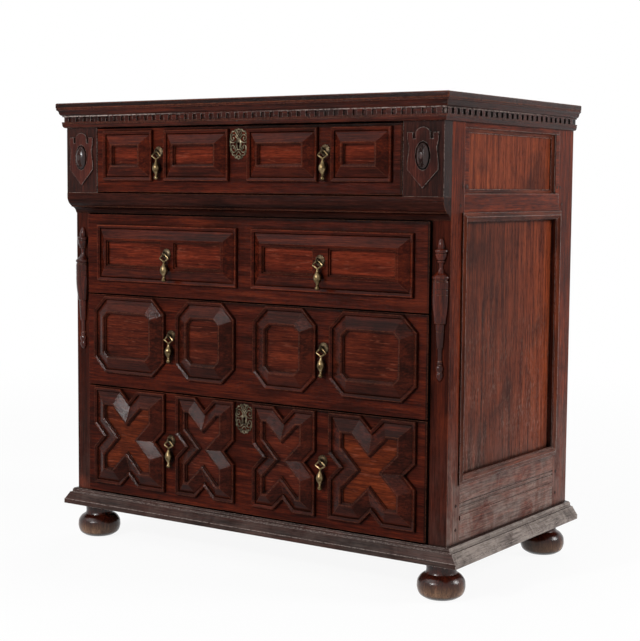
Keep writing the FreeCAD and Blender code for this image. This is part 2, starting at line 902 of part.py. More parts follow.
# Top board, a plain plank that overhangs the front and the sides.
top_body = new_body("top_board")
top_side = half + s.top_overhang
top_sketch = add_loop(
    new_sketch(top_body, "top_board_outline", "XY_Plane", top_bottom),
    [(-top_side, -front_edge), (top_side, -front_edge), (top_side, depth), (-top_side, depth)],
)
pad(top_body, "top_board_plank", top_sketch, s.top_thickness)
finish("top_board", top_body)


# Share of a moulding's reach by which the mitre cut runs past its two ends.
MITRE_OVERRUN = 0.2


def mitre_waste(body, name, back, side_reach, front_reach, front_piece):
    """The two wedges that a mitre takes off the ends of a front length, or the one off a side length."""
    near = (half - side_reach * MITRE_OVERRUN, back + front_reach * MITRE_OVERRUN)
    far = (half + side_reach * (1 + MITRE_OVERRUN), back - front_reach * (1 + MITRE_OVERRUN))
    corner = (far[0], near[1]) if front_piece else (near[0], far[1])
    sketch = new_sketch(body, name, "XY_Plane")
    add_loop(sketch, [near, far, corner])
    if front_piece:
        add_loop(sketch, [(-x, y) for x, y in (near, far, corner)])
    return pocket(body, f"{name}_cut", sketch)


def mitred_front(name, back, profile, arcs, side_reach, front_reach):
    """A moulding along the front; profile gives each point's projection and height."""
    body = new_body(f"{name}_front")
    section = add_loop(
        new_sketch(body, f"{name}_front_section", "YZ_Plane"), [(back - out, z) for out, z in profile], arcs
    )
    pad(body, f"{name}_front_length", section, (half + side_reach) * 2, symmetric=True)
    mitre_waste(body, f"{name}_front_mitre", back, side_reach, front_reach, True)
    return body


def mitred_side(name, back, profile, arcs, side_reach, front_reach):
    """The return of the same moulding along the right side, square at the back of the chest."""
    body = new_body(f"{name}_side")
    section = add_loop(
        new_sketch(body, f"{name}_side_section", "XZ_Plane", -depth),
        [(half + out, z) for out, z in profile],
        arcs,
    )
    pad(body, f"{name}_side_length", section, depth - back + front_reach)
    mitre_waste(body, f"{name}_side_mitre", back, side_reach, front_reach, False)
    return body


def flipped(arcs):
    return {edge: (radius, -side) for edge, (radius, side) in arcs.items()}


# Cornice: a cyma under the top board, above a band of dentils with a bead below.
cyma_reach = s.top_overhang - s.cyma_lip
cyma_middle = (s.cyma_start + cyma_reach) / 2
cyma_level = cyma_bottom + s.cyma_turn
cyma_edge = top_bottom - s.cornice_fillet
cyma_profile = [
    (as_size(0), cyma_bottom),
    (s.cyma_start, cyma_bottom),
    (cyma_middle, cyma_level),
    (cyma_reach, cyma_edge),
    (cyma_reach, top_bottom),
    (as_size(0), top_bottom),
]
cyma_arcs = {1: (s.cyma_radius, -1), 2: (s.cyma_radius, 1)}
cyma_front = mitred_front("cyma", upper_face, cyma_profile, flipped(cyma_arcs), cyma_reach, cyma_reach)
cyma_side = mitred_side("cyma", upper_face, cyma_profile, cyma_arcs, cyma_reach, cyma_reach)
cyma_left = mirror("cyma_left", cyma_side)
finish("cornice_moulding", group("cornice_moulding", [cyma_front, cyma_side, cyma_left]))

band_profile = [
    (as_size(0), cornice_bottom),
    (s.lip_edge, cornice_bottom),
    (s.lip_edge, dentil_bottom),
    (s.dentil_face, dentil_bottom),
    (s.dentil_face, dentil_top),
    (s.fillet_proud, dentil_top),
    (s.fillet_proud, cyma_bottom),
    (as_size(0), cyma_bottom),
]
band_arcs = {1: (s.bead_radius, -1)}


def dentil_row(body, name, role, offset, corner, across, axis, run):
    """One dentil that hangs from the fillet at the corner of the band, repeated along its run."""
    x, z = corner
    tooth = add_loop(
        new_sketch(body, f"{name}_outline", role, offset),
        [
            (x, z),
            (x + across, z),
            (x + across, dentil_top),
            (x, dentil_top),
        ],
    )
    first = pad(body, f"{name}_tooth", tooth, s.fillet_proud - s.dentil_face)
    row = body.newObject("PartDesign::LinearPattern", f"{name}_row")
    row.Originals = [first]
    row.Direction = ([item for item in body.Origin.OriginFeatures if item.Role == axis][0], [""])
    row.Mode = "Spacing"
    bind(row, "Offset", s.dentil_pitch)
    body.Tip = row
    count = run / s.dentil_pitch
    row.setExpression("Occurrences", f"floor({count.text})")
    return row


dentil_z = dentil_bottom + s.cornice_fillet / 2
band_reach = s.fillet_proud
band_front = mitred_front("band", upper_face, band_profile, flipped(band_arcs), band_reach, band_reach)
dentil_row(
    band_front,
    "front_dentil",
    "XZ_Plane",
    s.upper_step + s.dentil_face,
    (-half, dentil_z),
    s.dentil_width,
    "X_Axis",
    s.carcass_width + s.dentil_pitch - s.dentil_width,
)
band_side = mitred_side("band", upper_face, band_profile, band_arcs, band_reach, band_reach)
dentil_row(
    band_side,
    "side_dentil",
    "YZ_Plane",
    half + s.dentil_face,
    (upper_face, dentil_z),
    s.dentil_width,
    "Y_Axis",
    depth + s.upper_step,
)
finish("dentil_moulding", group("dentil_moulding", [band_front, band_side, mirror("band_left", band_side)]))

# Waist moulding under drawer 1: an ovolo over a cove, cut square at its ends.
waist_body = new_body("waist")
cove_top = waist_bottom + s.waist_cove
ovolo_bottom = cove_top + s.lip_edge
cove_edge = s.waist_cove + s.lip_edge
waist_section = add_loop(
    new_sketch(waist_body, "waist_section", "YZ_Plane"),
    [
        (0, waist_bottom),
        (-s.lip_edge, waist_bottom),
        (-cove_edge, cove_top),
        (-cove_edge - s.lip_edge, cove_top),
        (-cove_edge - s.lip_edge, ovolo_bottom),
        (upper_face, ovolo_bottom + s.waist_ovolo),
        (upper_face, waist_top),
        (0, waist_top),
    ],
    {1: (s.waist_cove_radius, -1), 4: (s.waist_ovolo, 1)},
)
pad(waist_body, "waist_length", waist_section, s.carcass_width, symmetric=True)
finish("waist_moulding", waist_body)

# Base moulding: a bead, a fillet and a hollow over a square lip, wider at the sides than in front.
BASE_PROFILE = [
    (0, 0),
    (1, 0),
    (1, 0.26),
    (0.76, 0.32),
    (0.58, 0.44),
    (0.49, 0.6),
    (0.47, 0.72),
    (0.41, 0.76),
    (0.41, 0.88),
    (0.3, 0.97),
    (0, 1),
]


def base_profile(reach):
    return [(reach * out, base_bottom + s.base_height * up) for out, up in BASE_PROFILE]


side_reach = s.base_side_overhang
front_reach = s.base_front_overhang
base_front = mitred_front("base", as_size(0), base_profile(front_reach), {}, side_reach, front_reach)
base_side = mitred_side("base", as_size(0), base_profile(side_reach), {}, side_reach, front_reach)
finish("base_moulding", group("base_moulding", [base_front, base_side, mirror("base_left", base_side)]))

# Corner plaques: a block with a carved shield round an oval boss.
plaque_front = block("plaque_front", (top_bay, half), (upper_face, as_size(0)), (waist_top, top_bottom))
plaque_tongue = (waist_rail_top, top_rail_bottom)
plaque_back = block("plaque_back", (top_bay, bay), (as_size(0), side_front), plaque_tongue)
plaque_block = fuse("plaque_block", [plaque_front, plaque_back])
plaque_x = half - s.corner_block_width / 2
shield_top = cornice_bottom - s.shield_top_space
spring = shield_top - s.arch_rise
arch_half = s.arch_width / 2
ear_start = arch_half + s.ear_gap
shield_half = s.shield_width / 2
shield_low = spring - s.shield_side_height
boss_z = cornice_bottom - s.boss_drop
shield_side = [
    (arch_half, spring),
    (arch_half, spring - s.ear_gap_depth),
    (ear_start, spring - s.ear_gap_depth),
    (ear_start, spring),
    (shield_half, spring),
    (shield_half, spring - s.ear_height),
    (shield_half - s.shield_waist, spring - s.shield_waist_drop),
    (shield_half, shield_low + s.ear_height),
    (shield_half, shield_low),
]
shield_points = [(plaque_x + out, z) for out, z in shield_side]
shield_points += [(plaque_x, shield_low - s.shield_foot_height)]
shield_points += [(plaque_x - out, z) for out, z in reversed(shield_side)]
shield_body = new_body("shield")
shield_sketch = new_sketch(shield_body, "shield_outline", "XZ_Plane", s.upper_step)
add_loop(shield_sketch, shield_points, {len(shield_points) - 1: (s.arch_radius, 1)})
rim = s.boss_rim * 2
oval_loop(shield_sketch, (plaque_x, boss_z), s.boss_width + rim, s.boss_height + rim, OVAL_SIDES)
pad(shield_body, "shield_carving", shield_sketch, s.shield_thickness)
boss = new_body("boss")
boss_levels = {
    "foot": (as_size(0), as_size(0)),
    "shoulder": (s.boss_shoulder, s.boss_shoulder_inset),
    "crown": (s.boss_rise, s.boss_crown_inset),
}
boss_ovals = []
for level, (rise, inset) in boss_levels.items():
    oval = new_sketch(boss, f"boss_{level}", "XZ_Plane", s.upper_step + rise)
    oval_loop(oval, (plaque_x, boss_z), s.boss_width - inset * 2, s.boss_height - inset * 2, OVAL_SIDES)
    boss_ovals.append(oval)
lofted(boss, "boss_dome", boss_ovals)
right_plaque = group("right_plaque", [plaque_block, shield_body, boss])
finish("corner_plaques", group("corner_plaques", [right_plaque, mirror("left_plaque", right_plaque)]))

# Split spindles: half turnings glued to the front stiles.
spindle_top = roof_2 - s.spindle_drop
spindle_members = [
    (s.spindle_tip_end_radius, s.spindle_tip_radius, s.spindle_dome),
    (s.spindle_tip_radius, s.spindle_tip_radius, s.spindle_tip),
    (s.spindle_ring_radius, s.spindle_ring_radius, s.spindle_ring),
    (s.spindle_ring_radius, s.spindle_cup_radius, s.spindle_cup),
    (s.spindle_neck_radius, s.spindle_neck_radius, s.spindle_neck),
    (s.spindle_neck_radius, s.spindle_collar_radius, s.spindle_flare),
    (s.spindle_collar_radius, s.spindle_collar_radius, s.spindle_collar),
    (s.spindle_barrel_radius, s.spindle_barrel_radius, s.spindle_barrel),
    (s.spindle_barrel_radius, s.spindle_foot_radius, s.spindle_taper),
    (s.spindle_step_radius, s.spindle_step_radius, s.spindle_step),
    (s.spindle_step_radius, s.spindle_stem_radius, s.spindle_stem),
    (s.spindle_neck_radius, s.spindle_neck_radius, s.spindle_lower_neck),
    (s.spindle_ball_radius, s.spindle_ball_radius, s.spindle_ball),
    (s.spindle_ball_radius, s.spindle_tip_end_radius, s.spindle_point),
]
spindle_points = []
spindle_level = as_size(0)
last_radius = None
for start_radius, end_radius, length in spindle_members:
    if start_radius is not last_radius:
        spindle_points.append((start_radius, spindle_level))
    spindle_level = spindle_level - length
    spindle_points.append((end_radius, spindle_level))
    last_radius = end_radius
spindle_points.reverse()
spindle_x = half - s.stile_width / 2
spindle_body = faceted_turning("spindle", SPINDLE_SIDES, s.spindle_core_radius, spindle_points)
place(spindle_body, spindle_x, 0, spindle_top)
split_off = block(
    "spindle_split_off",
    (bay, half),
    (as_size(0), s.stile_width),
    (spindle_top + spindle_level, spindle_top),
)
right_spindle = cut("right_spindle", spindle_body, [split_off])
finish("split_spindles", group("split_spindles", [right_spindle, mirror("left_spindle", right_spindle)]))


def offset_rectangle(x, z, inward):
    left, right = x
    bottom, top = z
    near = left + inward
    far = right - inward
    low = bottom + inward
    high = top - inward
    return [((near + far) / 2, low), (far, low), (far, high), (near, high), (near, low)]


def offset_octagon(x, z, inward):
    left, right = x
    bottom, top = z
    leg = s.octagon_chamfer + inward * MITRE_SHIFT
    near = left + inward
    far = right - inward
    low = bottom + inward
    high = top - inward
    return [
        ((near + far) / 2, low),
        (right - leg, low),
        (far, bottom + leg),
        (far, top - leg),
        (right - leg, high),
        (left + leg, high),
        (near, top - leg),
        (near, bottom + leg),
        (left + leg, low),
    ]


def offset_star(x, z, inward):
    """A square with a notch in the middle of each side, which leaves a saltire in the sunk field."""
    left, right = x
    bottom, top = z
    across = (left + right) / 2
    up = (bottom + top) / 2
    mouth = s.star_notch + inward * MITRE_SHIFT
    tip = s.star_notch + inward * DIAGONAL
    near = left + inward
    far = right - inward
    low = bottom + inward
    high = top - inward
    return [
        ((near + across - mouth) / 2, low),
        (across - mouth, low),
        (across, bottom + tip),
        (across + mouth, low),
        (far, low),
        (far, up - mouth),
        (right - tip, up),
        (far, up + mouth),
        (far, high),
        (across + mouth, high),
        (across, top - tip),
        (across - mouth, high),
        (near, high),
        (near, up + mouth),
        (left + tip, up),
        (near, up - mouth),
        (near, low),
    ]


lip_width = s.lip_flat + s.lip_step + s.lip_edge


def moulding_frame(name, outline, x, z, face, bevel, lip=True):
    """Mitred moulding swept round a panel: a bead, a quirk, a broad bevel that rises inwards and a lip."""
    body = new_body(f"{name}_frame")
    edge = z[0]
    start = outline(x, z, s.bead_width + bevel + lip_width)[0][0]
    corners = [(start, edge)] + outline(x, z, as_size(0))[1:]
    path = add_loop(new_sketch(body, f"{name}_path", "XZ_Plane", -face), corners)
    crest = edge + s.bead_width + bevel
    shoulder_height = s.bead_crest - s.bead_soft
    points = [
        (face, edge),
        (face - s.bead_edge, edge),
        (face - shoulder_height, edge + s.bead_shoulder),
        (face - s.bead_crest, edge + s.bead_width / 2),
        (face - shoulder_height, edge + s.bead_width - s.bead_shoulder),
        (face - s.quirk_height, edge + s.bead_width),
        (face - s.bevel_rise, crest),
    ]
    if lip:
        points += [
            (face - s.bevel_rise, crest + s.lip_flat),
            (face - s.bevel_rise + s.lip_fall, crest + s.lip_flat + s.lip_step),
            (face - s.bevel_rise + s.lip_fall + s.lip_drop, crest + lip_width),
            (face, crest + lip_width),
        ]
    else:
        points += [(face, crest)]
    section = add_loop(new_sketch(body, f"{name}_section", "YZ_Plane", start), points)
    swept(body, f"{name}_moulding", section, path)
    return body


def add_field(body, name, outline, x, z, face, bevel):
    """The flat sunk field inside a moulding frame, of one piece with it."""
    corners = outline(x, z, s.bead_width + bevel + lip_width)[1:]
    sketch = add_loop(new_sketch(body, f"{name}_field_outline", "XZ_Plane", -face), corners)
    pad(body, f"{name}_field", sketch, s.field_rise)


def both_hands(span):
    return {"right": span, "left": (-span[1], -span[0])}


def row_of_four(end, outer_extra):
    """Spans of the two panels on the right, which share the room on both sides of the pull strip."""
    start = s.centre_strip / 2
    gap = start + (end - start - s.pull_strip - outer_extra) / 2
    return {"inner": (start, gap), "outer": (gap + s.pull_strip, end)}


def star_bevel(span, saltire):
    """The bevel that leaves a saltire of this half width in a star."""
    return ((span[1] - span[0]) / 2 - s.star_notch - saltire) / DIAGONAL - s.bead_width - lip_width


def four_panels(drawer, outline, columns, z, face, bevels):
    pieces = []
    for place_name, span in columns.items():
        for hand, x in both_hands(span).items():
            name = f"{drawer}_{hand}_{place_name}"
            panel = moulding_frame(name, outline, x, z, face, bevels[place_name])
            add_field(panel, name, outline, x, z, face, bevels[place_name])
            pieces.append(panel)
    return pieces


def paired_panel(name, x, z, face):
    """A long panel whose raised middle has two sunk fields, either side of the strip under the pull."""
    body = moulding_frame(name, offset_rectangle, x, z, face, s.small_bevel, lip=False)
    margin = s.bead_width + s.small_bevel
    rim_corners = offset_rectangle(x, z, margin)[1:]
    plate = add_loop(new_sketch(body, f"{name}_plate_outline", "XZ_Plane", -face), rim_corners)
    pad(body, f"{name}_plate", plate, s.bevel_rise)
    low = z[0] + margin + s.sunk_margin
    high = z[1] - margin - s.sunk_margin
    left = x[0] + margin + s.sunk_margin
    right = x[1] - margin - s.sunk_margin
    strip = s.handle_strip / 2
    pull = paired_pull_x if x[0].number > 0 else -paired_pull_x
    fields = [((left, pull - strip), (low, high)), ((pull + strip, right), (low, high))]
    for level, inward, sunk in (("edge", as_size(0), s.sunk_step), ("field", s.sunk_step, s.sunk_depth)):
        sketch = new_sketch(body, f"{name}_sunk_{level}", "XZ_Plane", s.bevel_rise - face)
        for field_x, field_z in fields:
            add_loop(sketch, offset_rectangle(field_x, field_z, inward)[1:])
        pocket(body, f"{name}_sunk_{level}_cut", sketch, sunk)
    return body


def drop_pull(name, x, y, z):
    """A pear drop: a lozenge eye, whose bar is round below, then a slim neck, a full body and a button."""
    body = new_body(f"{name}_eye")
    bar_half = s.eye_bar / 2
    eye_half = s.eye_width / 2
    path = add_loop(
        new_sketch(body, f"{name}_eye_path", "XZ_Plane"),
        [
            (0, 0),
            (-bar_half, 0),
            (-eye_half, -s.eye_shoulder),
            (0, -s.eye_height),
            (eye_half, -s.eye_shoulder),
            (bar_half, 0),
        ],
    )
    wire = new_sketch(body, f"{name}_eye_wire", "YZ_Plane")
    oval_loop(wire, (as_size(0), as_size(0)), s.eye_wire, s.eye_wire, WIRE_SIDES)
    swept(body, f"{name}_eye_loop", wire, path)
    bar = new_sketch(body, f"{name}_bar_section", "YZ_Plane")
    side = s.eye_bar_radius * math.sin(BAR_TURN)
    low = s.eye_bar_radius * math.cos(BAR_TURN)
    add_loop(bar, [(side, -low), (0, s.eye_bar_radius), (-side, -low)], {2: (s.eye_bar_radius, -1)})
    pad(body, f"{name}_bar", bar, s.eye_bar, symmetric=True)
    place(body, x, y, z)
    pear_profile = [
        (s.drop_tip_radius, -s.drop_length),
        (s.drop_button_radius, -s.drop_button_depth),
        (s.drop_waist_radius, -s.drop_waist_depth),
        (s.drop_body_radius, -s.drop_body_depth),
        (s.drop_shoulder_radius, -s.drop_shoulder_depth),
        (s.drop_neck_radius, -s.eye_height),
    ]
    pear = faceted_turning(f"{name}_pear", DROP_SIDES, s.drop_core_radius, pear_profile)
    place(pear, x, y, z)
    return fuse(name, [body, pear])


def staple_ring(name, x, y, z):
    """The wire ring at the head of a staple, an even octagon that stands across the front."""
    body = new_body(name)
    reach = s.staple_ring_radius
    corner = reach * MITRE_SHIFT
    path = add_loop(
        new_sketch(body, f"{name}_path", "YZ_Plane"),
        [
            (0, -reach),
            (corner, -reach),
            (reach, -corner),
            (reach, corner),
            (corner, reach),
            (-corner, reach),
            (-reach, corner),
            (-reach, -corner),
            (-corner, -reach),
        ],
    )
    wire = new_sketch(body, f"{name}_wire", "XZ_Plane")
    oval_loop(wire, (as_size(0), -reach), s.staple_wire, s.staple_wire, WIRE_SIDES)
    swept(body, f"{name}_loop", wire, path)
    place(body, x, y, z)
    return body


def build_drawer(number, face, floor, roof, width_half, panels, pull_x, pull_z, pull_rise, lock):
    """One drawer: its box, the panels on its front, its pulls and, where it has one, its lock."""
    drawer = f"drawer_{number}"
    front_back = face + s.front_thickness
    box_outer = width_half - s.box_side_gap
    box_inner = box_outer - s.box_side_thickness
    box_end = depth - s.box_back_space
    inset = s.rail_lap + s.rail_clearance
    low = floor + inset
    high = roof - inset
    front_half = width_half - s.front_side_gap
    pull_face = face - pull_rise

    shanks = []
    rosettes = []
    staples = []
    for hand, sign in (("left", -1), ("right", 1)):
        x = pull_x * sign
        staple_y = pull_face - s.staple_reach
        shank_start = staple_y + s.staple_ring_radius
        shank = flat_bar(
            f"{drawer}_{hand}_shank",
            "y",
            (x, shank_start, pull_z),
            WIRE_SIDES,
            s.staple_wire / 2,
            front_back - shank_start,
        )
        shanks.append(shank)
        ring = staple_ring(f"{drawer}_{hand}_ring", x, staple_y, pull_z)
        staples.append(fuse(f"{drawer}_{hand}_staple", [ring, shank]))
        rosette_profile = [
            (s.rosette_radius, as_size(0)),
            (s.rosette_radius, s.rosette_rim),
            (s.rosette_boss, s.rosette_thickness),
        ]
        rosette = faceted_turning(
            f"{drawer}_{hand}_rosette", ROSETTE_SIDES, s.rosette_core_radius, rosette_profile
        )
        rosette.Placement = FreeCAD.Placement(FreeCAD.Vector(), FACING_FRONT)
        place(rosette, x, pull_face, pull_z)
        rosettes.append(cut(f"{drawer}_{hand}_rosette", rosette, [shank]))
        drop_z = pull_z - s.staple_ring_radius + s.staple_wire / 2 + s.eye_bar_radius + s.eye_fit
        finish(f"{drawer}_drop_{hand}", drop_pull(f"{drawer}_{hand}_drop", x, staple_y, drop_z))
    finish(f"{drawer}_pull_mounts", group(f"{drawer}_pull_mounts", rosettes + staples))

    runner_middle = (low + high) / 2
    runner_half = s.runner_height / 2
    runner_inner = width_half - s.runner_projection
    groove_half = runner_half + s.runner_fit
    groove = block(
        f"{drawer}_groove",
        (runner_inner - s.groove_fit, box_outer + s.box_side_gap),
        (front_back, depth),
        (runner_middle - groove_half, runner_middle + groove_half),
    )
    side_board = block(
        f"{drawer}_side_board", (box_inner, box_outer), (front_back - s.box_lap, box_end), (low, high)
    )
    right_side = cut(f"{drawer}_side", side_board, [groove])
    sides = group(f"{drawer}_sides", [right_side, mirror(f"{drawer}_left_side", right_side)])
    finish(f"{drawer}_sides", sides)
    runner_start = s.runner_start
    if width_half is not bay:
        runner_start = side_front
    runner = block(
        f"{drawer}_runner",
        (runner_inner, bay),
        (runner_start, depth - s.runner_end_space),
        (runner_middle - runner_half, runner_middle + runner_half),
    )
    runners.extend([runner, mirror(f"{drawer}_left_runner", runner)])

    back_board = block(
        f"{drawer}_back_board",
        (-box_inner, box_inner),
        (box_end - s.box_back_thickness, box_end),
        (low, high - s.box_back_drop),
    )
    finish(f"{drawer}_back", group(f"{drawer}_back", [back_board]))
    bottom_board = block(
        f"{drawer}_bottom_board",
        (-box_inner, box_inner),
        (front_back, box_end - s.box_back_thickness),
        (low + s.box_bottom_rise, low + s.box_bottom_rise + s.box_bottom_thickness),
    )
    finish(f"{drawer}_bottom", group(f"{drawer}_bottom", [bottom_board]))

    front_span = (-front_half, front_half)
    front_board = block(f"{drawer}_front_board", front_span, (face, front_back), (floor, roof))
    lap_right = block(
        f"{drawer}_lap_right", (box_inner, width_half), (front_back - s.box_lap, front_back), (low, high)
    )
    front_tools = [lap_right, mirror(f"{drawer}_lap_left", lap_right)] + shanks

    if lock:
        key_z = roof - s.key_drop
        slot_half = s.keyhole_slot / 2
        lock_top = high
        lock_bottom = lock_top - s.lock_height
        lock_half = s.lock_width / 2
        near = bolt_front(face)
        hole = flat_bar(
            f"{drawer}_key_bore",
            "y",
            (as_size(0), face - s.escutcheon_thickness, key_z),
            KEYHOLE_SIDES,
            s.keyhole_radius,
            near + s.escutcheon_thickness - face,
        )
        slot = block(
            f"{drawer}_key_slot",
            (-slot_half, slot_half),
            (face - s.escutcheon_thickness, near),
            (key_z - s.keyhole_length, key_z),
        )
        keyhole = fuse(f"{drawer}_keyhole", [hole, slot])
        front_tools.append(keyhole)
        plate_body = new_body(f"{drawer}_escutcheon")
        plate_sketch = new_sketch(plate_body, f"{drawer}_escutcheon_outline", "XZ_Plane", -face)
        oval_loop(plate_sketch, (as_size(0), key_z), s.escutcheon_width, s.escutcheon_height, OVAL_SIDES)
        pad(plate_body, f"{drawer}_escutcheon_plate", plate_sketch, s.escutcheon_thickness)
        finish(f"{drawer}_escutcheon", cut(f"{drawer}_escutcheon", plate_body, [keyhole]))
        case = block(
            f"{drawer}_lock_box",
            (-lock_half, lock_half),
            (front_back, front_back + s.lock_thickness),
            (lock_bottom, lock_top),
        )
        bolt_bottom = lock_top - s.bolt_height
        way = block(
            f"{drawer}_bolt_way",
            (-bolt_half - s.bolt_fit, bolt_half + s.bolt_fit),
            (near - s.bolt_fit, near + s.bolt_thickness + s.bolt_fit),
            (bolt_bottom - s.bolt_fit, lock_top),
        )
        finish(f"{drawer}_lock_case", cut(f"{drawer}_lock_case", case, [way, keyhole]))
        bolt = block(
            f"{drawer}_bolt_bar",
            (-bolt_half, bolt_half),
            (near, near + s.bolt_thickness),
            (bolt_bottom, lock_top),
        )
        finish(f"{drawer}_lock_bolt", group(f"{drawer}_lock_bolt", [bolt]))

    finish(f"{drawer}_front", cut(f"{drawer}_front", front_board, front_tools))
    pierced = panels
    if pull_rise is not NO_RISE:
        pierced = [
            cut(f"{drawer}_panel_{index}", item, [shanks[index]]) for index, item in enumerate(panels)
        ]
    finish(f"{drawer}_mouldings", group(f"{drawer}_mouldings", pierced))


NO_RISE = as_size(0)
runners = []

top_columns = row_of_four(top_bay - s.drawer_1_end_space, -s.drawer_1_inner_extra)
panel_top = roof_1 - s.drawer_1_panel_drop
panel_rows = (panel_top - s.drawer_1_panel_height, panel_top)
small_bevels = {"inner": s.small_bevel, "outer": s.small_bevel}
build_drawer(
    1,
    upper_face,
    floor_1,
    roof_1,
    top_bay,
    four_panels("drawer_1", offset_rectangle, top_columns, panel_rows, upper_face, small_bevels),
    (top_columns["inner"][1] + top_columns["outer"][0]) / 2,
    (panel_rows[0] + panel_rows[1]) / 2 + s.pull_rise,
    NO_RISE,
    True,
)

paired_span = (s.drawer_2_strip / 2, bay - s.drawer_2_end_space)
paired_top = roof_2 - s.drawer_2_panel_drop
paired_rows = (paired_top - s.drawer_2_panel_height, paired_top)

geometric_columns = row_of_four(bay - s.geometric_end_space, s.geometric_outer_extra)
geometric_pull_x = (geometric_columns["inner"][1] + geometric_columns["outer"][0]) / 2
paired_pull_x = geometric_pull_x
paired_panels = [
    paired_panel(f"drawer_2_{hand}", both_hands(paired_span)[hand], paired_rows, lower_face)
    for hand in ("left", "right")
]
build_drawer(
    2,
    lower_face,
    floor_2,
    roof_2,
    bay,
    paired_panels,
    paired_pull_x,
    (paired_rows[0] + paired_rows[1]) / 2 + s.drawer_2_pull_rise,
    s.bevel_rise,
    False,
)

octagon_top = roof_3 - s.geometric_panel_drop
octagon_rows = (octagon_top - s.octagon_height, octagon_top)
build_drawer(
    3,
    lower_face,
    floor_3,
    roof_3,
    bay,
    four_panels(
        "drawer_3",
        offset_octagon,
        geometric_columns,
        octagon_rows,
        lower_face,
        {"inner": s.wide_bevel, "outer": s.wide_bevel},
    ),
    geometric_pull_x,
    (octagon_rows[0] + octagon_rows[1]) / 2 + s.pull_rise,
    NO_RISE,
    False,
)

star_top = roof_4 - s.geometric_panel_drop
star_rows = (star_top - s.star_height, star_top)
star_bevels = {
    "inner": star_bevel(geometric_columns["inner"], s.inner_saltire),
    "outer": star_bevel(geometric_columns["outer"], s.outer_saltire),
}
build_drawer(
    4,
    lower_face,
    floor_4,
    roof_4,
    bay,
    four_panels(
        "drawer_4",
        offset_star,
        geometric_columns,
        star_rows,
        lower_face,
        star_bevels,
    ),
    geometric_pull_x,
    (star_rows[0] + star_rows[1]) / 2 + s.pull_rise,
    NO_RISE,
    True,
)
finish("drawer_runners", group("drawer_runners", runners))

doc.recompute()
faults = [item.Name for item in doc.Objects if "Invalid" in item.State or "Error" in item.State]
for item in finished:
    if item.Shape.isNull() or not item.Shape.isValid() or not item.Shape.Solids:
        faults.append(item.Label)
if faults:
    raise RuntimeError("not sound: " + ", ".join(faults))
os.makedirs("parts", exist_ok=True)
for item in finished:
    item.Shape.exportStep(f"parts/{item.Label}.step")
print(len(finished), "pieces")
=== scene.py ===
import json
import math
import bmesh
import bpy
from mathutils import Matrix, Vector


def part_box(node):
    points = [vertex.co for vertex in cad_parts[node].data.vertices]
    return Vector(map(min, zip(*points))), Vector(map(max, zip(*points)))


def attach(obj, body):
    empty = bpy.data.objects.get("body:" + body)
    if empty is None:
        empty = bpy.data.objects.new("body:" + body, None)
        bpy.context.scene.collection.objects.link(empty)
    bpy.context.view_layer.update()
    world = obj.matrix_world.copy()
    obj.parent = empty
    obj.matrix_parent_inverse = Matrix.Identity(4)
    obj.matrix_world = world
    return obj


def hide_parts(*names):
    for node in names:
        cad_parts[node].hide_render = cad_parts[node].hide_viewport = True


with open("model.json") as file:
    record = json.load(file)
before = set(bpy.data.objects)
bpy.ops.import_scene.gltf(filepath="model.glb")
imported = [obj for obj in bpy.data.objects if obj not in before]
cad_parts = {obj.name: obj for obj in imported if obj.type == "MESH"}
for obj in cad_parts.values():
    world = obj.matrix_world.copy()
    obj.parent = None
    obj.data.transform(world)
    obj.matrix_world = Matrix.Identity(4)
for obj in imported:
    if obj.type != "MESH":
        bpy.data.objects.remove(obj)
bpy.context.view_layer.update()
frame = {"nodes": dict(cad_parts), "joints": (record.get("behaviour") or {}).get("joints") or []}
nodes = frame["nodes"]
MM = 0.001
WHITE = (1, 1, 1, 1)

# The sockets of a Mix node for each kind of value: the first of its two inputs, and its output.
MIX_SOCKETS = {"VECTOR": (4, 1), "RGBA": (6, 2)}
CLOSENESS_SAMPLES = 6


